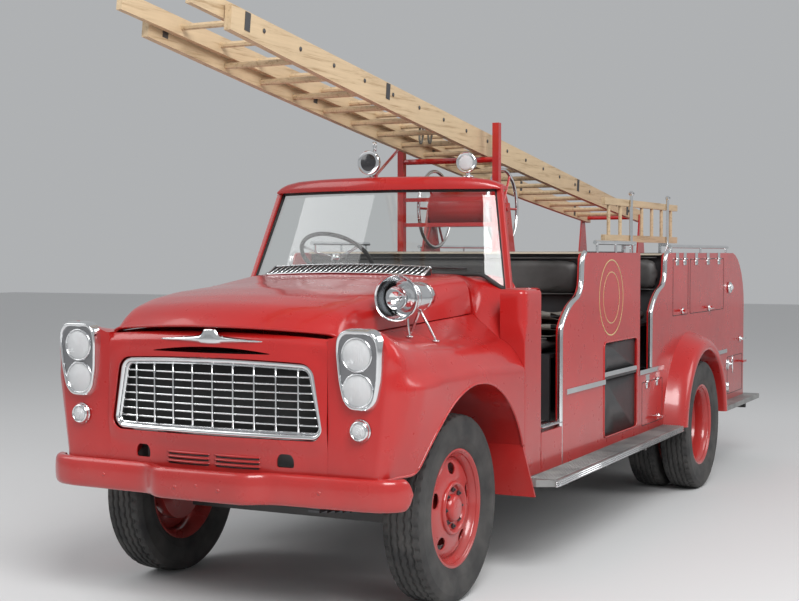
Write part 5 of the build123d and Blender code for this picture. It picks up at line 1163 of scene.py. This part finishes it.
crest_rings = []
for radius, width in ((0.232, 0.0035), (0.158, 0.0025)):
    for side in (-1, 1):
        crest_rings.append(turned([(0.0, radius - width), (0.0008, radius - width), (0.0008, radius + width),
                                   (0.0, radius + width)], (side * 1.0032, FA + 2.060, 1.446), (side, 0, 0),
                                  96))
joined("blank_crest_rings", crest_rings, "gold", wrapped=True)


def handle_grids(side, y, z, half, across=True, stand=0.030):
    """Bar handle on one rosette at its middle, level or upright, on the body side."""
    d = np.array((0, 1.0, 0) if across else (0, 0, 1.0))
    middle = np.array((side * (1.005 + stand), y, z))
    grids = [tube_grid([middle - half * d, middle - 0.5 * half * d, middle + 0.5 * half * d,
                        middle + half * d], [0.005, 0.0075, 0.0075, 0.005], 12)]
    grids.append(turned([(0.0, 0.0005), (0.0, 0.026), (0.006, 0.024), (0.010, 0.012), (stand, 0.009),
                         (stand, 0.0005)], (side * 1.0045, y, z), (side, 0, 0), 24))
    return grids


FLAP_HANDLES = (("narrow", 3.698, 1.304), ("wide", 4.456, 1.300), ("low", 3.096, 0.601))
for place, side in SIDES:
    for name, y, z in FLAP_HANDLES:
        joined("flap_%s_handle_%s" % (name, place), handle_grids(side, FA + y, z, 0.062), "chrome",
               "flap_%s_%s_lid" % (name, place))
    joined("small_door_handle_" + place, handle_grids(side, FA + 5.110, 0.821, 0.070, across=False), "chrome",
           "door_small_%s_leaf" % place)
fixed = []
for side in (-1, 1):
    fixed += handle_grids(side, FA + 5.497, 1.006, 0.085)
    fixed.append(turned([(0.0, 0.0005), (0.0, 0.046), (0.012, 0.046), (0.022, 0.040), (0.026, 0.034),
                         (0.020, 0.030), (0.020, 0.0005)], (side * 1.0035, FA + 5.096, 1.443), (side, 0, 0),
                        40))
joined("corner_handles_and_lamp_cups", fixed, "chrome")
marker = []
for side in (-1, 1):
    marker.append(turned([(0.018, 0.030), (0.030, 0.026), (0.037, 0.014), (0.039, 0.0005), (0.018, 0.0005)],
                         (side * 1.0035, FA + 5.096, 1.443), (side, 0, 0), 32))
joined("marker_lenses", marker, "lamp_glass")

# Running boards: fine ribs along the top, a ribbed bright edge
board_ribs, edge_ribs = [], []
for k in range(9):
    inset = 0.024 + 0.0165 * k
    path = np.array([(1.180 - inset, FA + 0.640, 0.5315), (1.1635 - inset, FA + 1.94, 0.5315),
                     (1.147 - inset, FA + 3.214, 0.5315)])
    board_ribs.append(tube_grid(path, 0.0032, 6))
for z in (0.500, 0.511, 0.522):
    path = np.array([(1.1805, FA + 0.612, z), (1.164, FA + 1.92, z), (1.1475, FA + 3.216, z)])
    edge_ribs.append(tube_grid(path, 0.0042, 8))
joined("running_board_ribs", mirrored(*board_ribs), "tread_plate")
joined("running_board_edges", mirrored(*edge_ribs), "chrome")

# Bumper bolts
bolts = []
for x, z in ((-0.60, 0.648), (0.60, 0.648), (-0.12, 0.635), (0.0, 0.648), (0.12, 0.635)):
    y = FA - (0.944 if abs(x) < 0.3 else 0.8570)
    bolts.append(turned([(-0.002, 0.0005), (-0.002, 0.011), (0.003, 0.010), (0.006, 0.005), (0.007, 0.0005)],
                        (x, y, z), (0, -1, 0), 16))
joined("bumper_bolts", bolts, "red_paint")

# Bumper: a rolled section swept along its path, drawn in at the wrapped-round ends
BUMPER_PATH = ((0, -0.945), (0.225, -0.942), (0.262, -0.930), (0.300, -0.900), (0.338, -0.874),
               (0.380, -0.866), (0.820, -0.848), (0.905, -0.828), (0.960, -0.790), (0.985, -0.740),
               (0.989, -0.700))
half = np.array(BUMPER_PATH)
plan = eased(evenly(np.vstack([half[:0:-1] * (-1, 1), half]), 241), 2.4)
BUMPER_ROLL = ((0.044, 0.070), (0.026, 0.0745), (0.012, 0.072), (0.003, 0.062), (-0.001, 0.044),
               (-0.003, 0.015), (-0.003, -0.015), (-0.001, -0.044), (0.003, -0.062), (0.012, -0.072),
               (0.026, -0.0745), (0.044, -0.070))
along = np.gradient(plan, axis=0)
along /= np.linalg.norm(along, axis=1)[:, None]
roll = eased(evenly(BUMPER_ROLL, 37), 1.2)
from_end = np.minimum(np.arange(241), np.arange(241)[::-1]) / 241 * 2.33
taper = np.sqrt(np.clip(1 - np.clip(1 - from_end / 0.050, 0, 1) ** 2, 0.04, 1))
x = plan[:, 0, None] - along[:, 1, None] * roll[None, :, 0]
y = FA + plan[:, 1, None] + along[:, 0, None] * roll[None, :, 0]
z = 0.647 + taper[:, None] * roll[None, :, 1]
bumper = skin("bumper_pressing", coords(x, y, z), "red_paint", facing=(0, -1, 0))
thicken(bumper, 0.005, 50)
bracket = bar_grid((0.378, FA - 0.855, 0.604), (0.432, FA - 0.762, 0.682), 0.003)
joined("bumper_brackets", mirrored(bracket), "black_paint", smooth=False)
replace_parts(bumper, "front_bumper")

# Rear arches: a wide flare rolled over its outer edge
flare_profile = eased(evenly([(1.003, 0.684), (1.050, 0.662), (1.100, 0.640), (1.136, 0.616), (1.149, 0.590),
                              (1.150, 0.560), (1.146, 0.5455), (1.120, 0.5455), (1.003, 0.5455)], 41), 1.2)
low_angle = math.asin((0.5102 - AXLE_Z) / 0.60)
t = np.linspace(low_angle, np.pi - low_angle, 97)
arch_grid = coords(flare_profile[:, 0], RA + np.cos(t)[:, None] * flare_profile[:, 1],
                   AXLE_Z + np.sin(t)[:, None] * flare_profile[:, 1])
arches = joined("rear_arch_flares", mirrored(arch_grid), "red_paint")
sharpen(arches, 45)
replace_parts(arches, "rear_arches")

# Seats: stuffed cushions and backs with piping
CLOTH_STEPS = 20
PAD_VOXEL = 0.017
PAD_SWELL = 0.012
PAD_CROWN = 0.0012
PAD_PRESSURE = 4.0
SECTION_POWER = 0.42


def stuffed_shape(low, high):
    """Closed crowned pad along X.

    At share s from -1 to 1 along X, its section is |cos t|^0.42, |sin t|^0.42 with their signs, over half
    the box, crowned by 1 - s^2 and drawn in toward the ends by sqrt(1 - s^26).
    """
    low, high = np.array(low), np.array(high)
    middle, half_size = (low + high) / 2, (high - low) / 2
    s = np.linspace(-1, 1, 61)[:, None]
    t = np.linspace(0, 2 * np.pi, 34, endpoint=False)
    across, up = (np.sign(wave) * np.abs(wave) ** SECTION_POWER for wave in (np.cos(t), np.sin(t)))
    draw = np.clip(1 - np.abs(s) ** 26, 0, 1) ** 0.5 * 0.96 + 0.04
    return coords(middle[0] + half_size[0] * s, middle[1] + draw * half_size[1] * across,
                  middle[2] + draw * (half_size[2] * up + PAD_CROWN * (1 - s**2)))


def vertex_run(mesh):
    """Coordinates of a mesh's vertices in one row."""
    run = np.empty(len(mesh.vertices) * 3)
    mesh.vertices.foreach_get("co", run)
    return run


def stuff(name, grid):
    """Pad swollen by Blender's Cloth under pressure, by PAD_SWELL at most, then smoothed once."""
    pad = skin(name, grid, "seat_leather", close_columns=True, caps=True)
    even = pad.modifiers.new("even", "REMESH")
    even.mode = "VOXEL"
    even.voxel_size = PAD_VOXEL
    base = applied(pad)
    start = vertex_run(base)
    cloth = pad.modifiers.new("cloth", "CLOTH")
    cloth.settings.use_pressure = True
    cloth.settings.uniform_pressure_force = PAD_PRESSURE
    cloth.settings.effector_weights.gravity = 0.0
    cloth.point_cache.frame_start, cloth.point_cache.frame_end = 1, CLOTH_STEPS
    for step in range(1, CLOTH_STEPS + 1):
        bpy.context.scene.frame_set(step)
    swollen = pad.evaluated_get(bpy.context.evaluated_depsgraph_get()).data
    move = (vertex_run(swollen) - start).reshape(-1, 3)
    far = np.linalg.norm(move, axis=1)[:, None]
    move *= np.minimum(1, PAD_SWELL / np.maximum(far, 1e-9))
    pad.modifiers.clear()
    base.vertices.foreach_set("co", start + move.ravel())
    base.update()
    base.shade_smooth()
    bpy.context.scene.frame_set(1)
    smooth = pad.modifiers.new("smooth", "SUBSURF")
    smooth.levels = smooth.render_levels = 1
    return pad


SEAT_PADS = (  # name, low and high corner of the stuffed form
    ("front_cushion", (-0.880, FA + 1.246, 1.1540), (0.880, FA + 1.684, 1.2200)),
    ("rear_cushion", (-0.880, FA + 2.951, 1.2540), (0.880, FA + 3.352, 1.3200)),
    ("front_backrest", (-0.928, FA + 1.704, 1.4640), (0.928, FA + 1.7480, 1.6880)),
    ("rear_backrest", (-0.928, FA + 3.364, 1.4540), (0.928, FA + 3.4080, 1.6900)))
pads = [stuff(name, stuffed_shape(low, high)) for name, low, high in SEAT_PADS]
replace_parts(pads[0], "seats")
piping = []
for y, z, reach in ((FA + 1.240, 1.232, 0.878), (FA + 2.945, 1.332, 0.878)):
    edge = [(-reach, y + 0.02, z), (-reach * 0.97, y, z), (reach * 0.97, y, z), (reach, y + 0.02, z)]
    piping.append(tube_grid(evenly(edge, 41), 0.0045, 8))
for y, z_low, z_high in ((FA + 1.7035, 1.475, 1.690), (FA + 3.3635, 1.465, 1.690)):
    for z in (z_low, z_high):
        piping.append(tube_grid(evenly([(-0.905, y + 0.006, z), (0.905, y + 0.006, z)], 21), 0.0050, 8))
joined("seat_piping", piping, "seat_leather")
cappings = [bar_grid((-0.945, FA + y, z), (0.945, FA + y + 0.071, z + 0.0125), 0.004)
            for y, z in ((1.694, 1.7165), (3.354, 1.7065))]
joined("backrest_cappings", cappings, "timber_pale", smooth=False)

# Rear corners: curved panels that close the deck to the swept side tops
corner = arc_through((5.240, 1.7205), (5.515, 1.5905), (5.600, 1.400), 25)
tail_grid = coords(np.linspace(-0.962, 0.962, 25), FA + corner[:, :1], corner[:, 1:] - 0.002)
tail = skin("rear_deck_curve", tail_grid, "red_paint", facing=(0, 0, 1))
thicken(tail, 0.006)

# Ladder fittings: steel plates on the strings, rivets at the rung ends, two lashing loops
LADDER = "ladder_lower_section"
tilt = math.radians(6.9)
HEEL = np.array((0.0, FA + 5.130, 2.020))
ahead = np.array((0.0, -math.cos(tilt), math.sin(tilt)))
above = np.array((0.0, math.sin(tilt), math.cos(tilt)))


def on_ladder(x, along_run, up):
    """Point of the ladder: x across, run from the heel pin toward the tip, up square to it."""
    return HEEL + (x, 0, 0) + along_run * ahead + up * above


plates = []
for run in (0.34, 1.55, 3.10, 4.65, 6.05):
    for x0, x1 in ((0.2065, 0.2085), (0.2435, 0.2455)):
        plates.append(np.array([[on_ladder(x, run + step, up) for step, up in
                                 ((-0.022, -0.028), (0.022, -0.028), (0.022, 0.058), (-0.022, 0.058))]
                                for x in (x0, x1)]))
joined("ladder_bed_plates", mirrored(*plates), "spring_steel", LADDER, smooth=False)
RIVET = ((0.0, 0.0005), (0.0, 0.012), (0.003, 0.010), (0.005, 0.0005))
rung_ends = [turned(RIVET, on_ladder(0.2445, 0.30 + 0.330 * k, 0.010), (1, 0, 0), 10) for k in range(18)]
joined("ladder_rung_rivets", mirrored(*rung_ends), "spring_steel", LADDER)
STRAP_RUN = 3.62
around = np.linspace(0, 2 * math.pi, 40, endpoint=False)
straps = [tube_grid(np.array([on_ladder(x, STRAP_RUN + 0.024 * math.cos(a), 0.060 * math.sin(a))
                              for a in around]), 0.007, 8, closed=True) for x in (-0.050, 0.010)]
joined("ladder_strap_loops", straps, "canvas", LADDER, wrapped=True)

# Scuttle: a crowned pressing between the bonnet and the windscreen, over two boxed sides
COWL_FRONT = ((0.860, 1.266), (0.712, 1.390), (0.690, 1.540), (0.600, 1.600), (0.300, 1.608), (0.0, 1.611))
COWL_REAR = ((0.860, 1.490), (0.857, 1.520), (0.835, 1.572), (0.700, 1.600), (0.350, 1.615), (0.0, 1.620))
COWL_Y = (0.6085, 0.855)
DASH_Z, FIREWALL_Z = 1.352, 0.760


def mirrored_line(half_line, count, softness):
    """Whole section from its right half, evenly spaced and rounded."""
    half_line = np.array(half_line)
    whole = np.vstack([half_line * (-1, 1), half_line[-2::-1]])
    return eased(evenly(whole, count), softness)


ends = [mirrored_line(line, 121, 1.6) for line in (COWL_FRONT, COWL_REAR)]
share = np.linspace(0, 1, 15)[:, None, None]
flat = ends[0] * (1 - share) + ends[1] * share
y = FA + COWL_Y[0] + (COWL_Y[1] - COWL_Y[0]) * share[..., 0]
top = coords(flat[..., 0], y, flat[..., 1] - 0.0005)
down = np.linspace(0, 1, 9)[:, None]
firewall, dash = (coords(edge[:, 0], edge[:, 1], np.maximum(edge[:, 2] * (1 - down) + low * down,
                                                            min(low, edge[:, 2].min())))
                  for edge, low in ((top[0], FIREWALL_Z), (top[-1], DASH_Z)))
cowl = skin("scuttle_pressing", np.concatenate([firewall[::-1], top[1:-1], dash]), "red_paint")
thicken(cowl, 0.004)
sharpen(cowl, 45)


def boxed_side(z):
    """Boxed side: plan with a rounded front corner, soft upper edge and flat top, for a column of heights.

    The front corner's radius grows from 5 mm beside the wing to 45 mm above it; each row near the
    top is drawn in along the plan's normals as on a quarter circle of 28 mm.
    """
    radius = 0.005 + 0.040 * np.clip((z - 1.26) / 0.10, 0, 1)
    quarter = np.linspace(0, np.pi / 2, 9)
    x0, x1, y0, y1 = 0.8615, 1.003, FA + 0.6085, FA + 0.855
    plan = [(x0 + (x1 - radius - x0) * s, y0, 0, -1) for s in np.linspace(0, 0.9, 5)]
    plan += [(x1 - radius + radius * np.sin(a), y0 + radius - radius * np.cos(a), np.sin(a), -np.cos(a))
             for a in quarter]
    plan += [(x1, y0 + radius + (y1 - y0 - radius) * s, 1, 0) for s in np.linspace(0.15, 0.93, 7)]
    plan += [(x1 - 0.010 + 0.010 * np.cos(a), y1 - 0.010 + 0.010 * np.sin(a), np.cos(a), np.sin(a))
             for a in quarter[::2]]
    plan.append((x1 - 0.030, y1, 0, 1))
    return np.array([[value + 0 * z for value in spot] for spot in plan]).transpose(1, 2, 0)


TOP_R, BOX_TOP = 0.028, 1.528
heights = np.concatenate([np.linspace(0.531, 1.22, 9), np.linspace(1.25, BOX_TOP - TOP_R, 12),
                          BOX_TOP - TOP_R + TOP_R * np.sin(np.linspace(0.17, np.pi / 2, 9))])
px, py, nx, ny = boxed_side(heights)
inset = TOP_R - np.sqrt(np.maximum(TOP_R**2 - np.maximum(heights - (BOX_TOP - TOP_R), 0) ** 2, 0))
box = coords(px - nx * inset[:, None], py - ny * inset[:, None], heights[:, None])
spine = coords(0.880, box[-1, :, 1] * 0.4 + (FA + 0.740) * 0.6, BOX_TOP)
cap = box[-1] + (spine - box[-1]) * np.linspace(0, 1, 7)[1:, None, None]
boxes = joined("scuttle_sides", mirrored(np.concatenate([box, cap])), "red_paint")
thicken(boxes, 0.004)
sharpen(boxes, 50)
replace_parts(cowl, "scuttle")

# Flap and door hinges in bright metal, dark seams round the lids
LIDS = (("flap_narrow", 3.445, 3.852, 1.275, 1.680, 2), ("flap_wide", 3.905, 4.930, 1.275, 1.680, 3),
        ("flap_low", 2.712, 3.190, 0.575, 0.865, 2), ("door_small", 5.070, 5.590, 0.575, 0.880, 0))
BARREL_X, BARREL_R = 1.010, 0.0076
reach = np.array((-0.041, 0, 0.041))
seams = []
for place, side in SIDES:
    x0, x1 = sorted((side * 1.0036, side * 1.0080))
    barrel_x = side * BARREL_X
    for name, y0, y1, z0, z1, count in LIDS:
        y0, y1 = FA + y0, FA + y1
        line = round_loop([(y0 + 0.002, z0 + 0.002), (y1 - 0.002, z0 + 0.002), (y1 - 0.002, z1 - 0.002),
                           (y0 + 0.002, z1 - 0.002)], 120, 0.8)
        seams.append(tube_grid(coords(side * 1.0022, line[:, 0], line[:, 1]), 0.0028, 6, closed=True))
        covers = []
        for k in range(count):
            y = y0 + (y1 - y0) * (k + 0.5) / count
            covers.append(bar_grid((x0, y - 0.0405, z1 - 0.0455), (x1, y + 0.0405, z1 - 0.0035), 0.001))
            covers.append(tube_grid(coords(barrel_x, y + reach, z1), BARREL_R, 12))
        for z in [] if count else [z0 + 0.060, z1 - 0.060]:
            covers.append(bar_grid((x0, y0 + 0.0035, z - 0.0405), (x1, y0 + 0.0455, z + 0.0405), 0.001))
            covers.append(tube_grid(coords(barrel_x, y0, z + reach), BARREL_R, 12))
        body = "%s_%s_%s" % (name, place, "leaf" if name == "door_small" else "lid")
        joined("%s_hinges_%s" % (name, place), covers, "chrome", body)
joined("lid_seams", seams, "rubber_black", wrapped=True)

# Painted shade: black linings inside the step recess
LINING_STEPS = ((0.990, 1), (0.80, 1), (0.645, 1), (0.6435, 0.97), (0.6432, 0.5), (0.6430, 0.002))
painted_shade_linings = []
for z0, z1 in ((0.5915, 0.9435), (0.9865, 1.1735)):
    loop = round_loop([(FA + 1.9235, z0), (FA + 2.5935, z0), (FA + 2.5935, z1), (FA + 1.9235, z1)], 96, 0.9)
    loop = np.vstack([loop, loop[:1]])
    middle = np.array((FA + 2.2585, (z0 + z1) / 2))
    painted_shade_linings.append(np.array([coords(x, *(middle + (loop - middle) * shrink).T)
                             for x, shrink in LINING_STEPS]))
joined("step_recess_painted_shade", mirrored(*painted_shade_linings), "black_paint")

# Folded canvas on the front seat, laid to and fro in five layers
LAYERS, LAYER_STEP, CANVAS_LOW, CANVAS_WIDTH = 5, 0.029, 1.2420, 0.385
fold = []
for k in range(LAYERS):
    run = np.linspace(FA + 1.345, FA + 1.640, 18)[::1 - 2 * (k % 2)]
    fold += [(y, CANVAS_LOW + LAYER_STEP * k) for y in run]
    if k < LAYERS - 1:
        outward = LAYER_STEP / 2 * (1 - 2 * (k % 2))
        fold += [(run[-1] + outward * math.cos(a), CANVAS_LOW + LAYER_STEP * (k + 0.5) + LAYER_STEP / 2
                  * math.sin(a)) for a in np.linspace(-0.5 * np.pi, 0.5 * np.pi, 9)[1:-1]]
fold = eased(evenly(fold, 170), 1.2)
x = np.linspace(0.490, 0.875, 41)[:, None]
rise = (fold[:, 1] - CANVAS_LOW) / (LAYER_STEP * (LAYERS - 1))
wave = 0.5 + 0.3 * np.sin(15 * x + 11 * fold[None, :, 0]) + 0.2 * np.sin(37 * x - 21 * fold[None, :, 0] + 1.0)
z = fold[None, :, 1] + rise * 0.030 * wave
y = fold[None, :, 0] + rise * 0.014 * np.sin(19 * x + 1.3)
cloth_grid = coords(x, y, z)
canvas_fold = skin("folded_canvas", cloth_grid, "canvas")
thicken(canvas_fold, 0.003)

# Floor and light
FLOOR_HALF = 40.0
floor_mesh = bpy.data.meshes.new("floor")
floor_mesh.from_pydata(
    [(-FLOOR_HALF, -FLOOR_HALF, -0.001), (FLOOR_HALF, -FLOOR_HALF, -0.001),
     (FLOOR_HALF, FLOOR_HALF, -0.001), (-FLOOR_HALF, FLOOR_HALF, -0.001)], [], [(0, 1, 2, 3)])
floor = bpy.data.objects.new("floor", floor_mesh)
bpy.context.scene.collection.objects.link(floor)
floor_material, _, floor_shader = new_material("pale floor")
floor_shader.inputs["Base Color"].default_value = (0.7, 0.7, 0.7, 1.0)
floor_shader.inputs["Roughness"].default_value = 0.9
floor_mesh.materials.append(floor_material)
floor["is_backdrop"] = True

world = bpy.data.worlds.new("studio")
bpy.context.scene.world = world
world.use_nodes = True
background = world.node_tree.nodes["Background"]
background.inputs["Color"].default_value = (0.86, 0.88, 0.9, 1.0)
background.inputs["Strength"].default_value = 0.50


def soft_box(name, centre, target, size, watts):
    """A large square lamp, aimed at a point."""
    data = bpy.data.lights.new(name, "AREA")
    data.size = size
    data.energy = watts
    lamp = bpy.data.objects.new(name, data)
    lamp.location = centre
    aim = np.array(target) - np.array(centre)
    across = math.hypot(aim[0], aim[1])
    lamp.rotation_euler = (math.atan2(across, -aim[2]), 0, math.atan2(aim[1], aim[0]) - math.pi / 2)
    bpy.context.scene.collection.objects.link(lamp)


soft_box("key", (5.5, -7.5, 8.0), (0, -0.5, 1.0), 5.0, 900)
soft_box("side", (9.0, 3.0, 6.0), (0, 0.5, 1.0), 5.0, 260)
soft_box("far", (-7.0, -6.0, 7.0), (0, -1.0, 1.0), 6.0, 250)
bpy.context.scene.view_settings.view_transform = "Standard"

low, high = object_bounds()
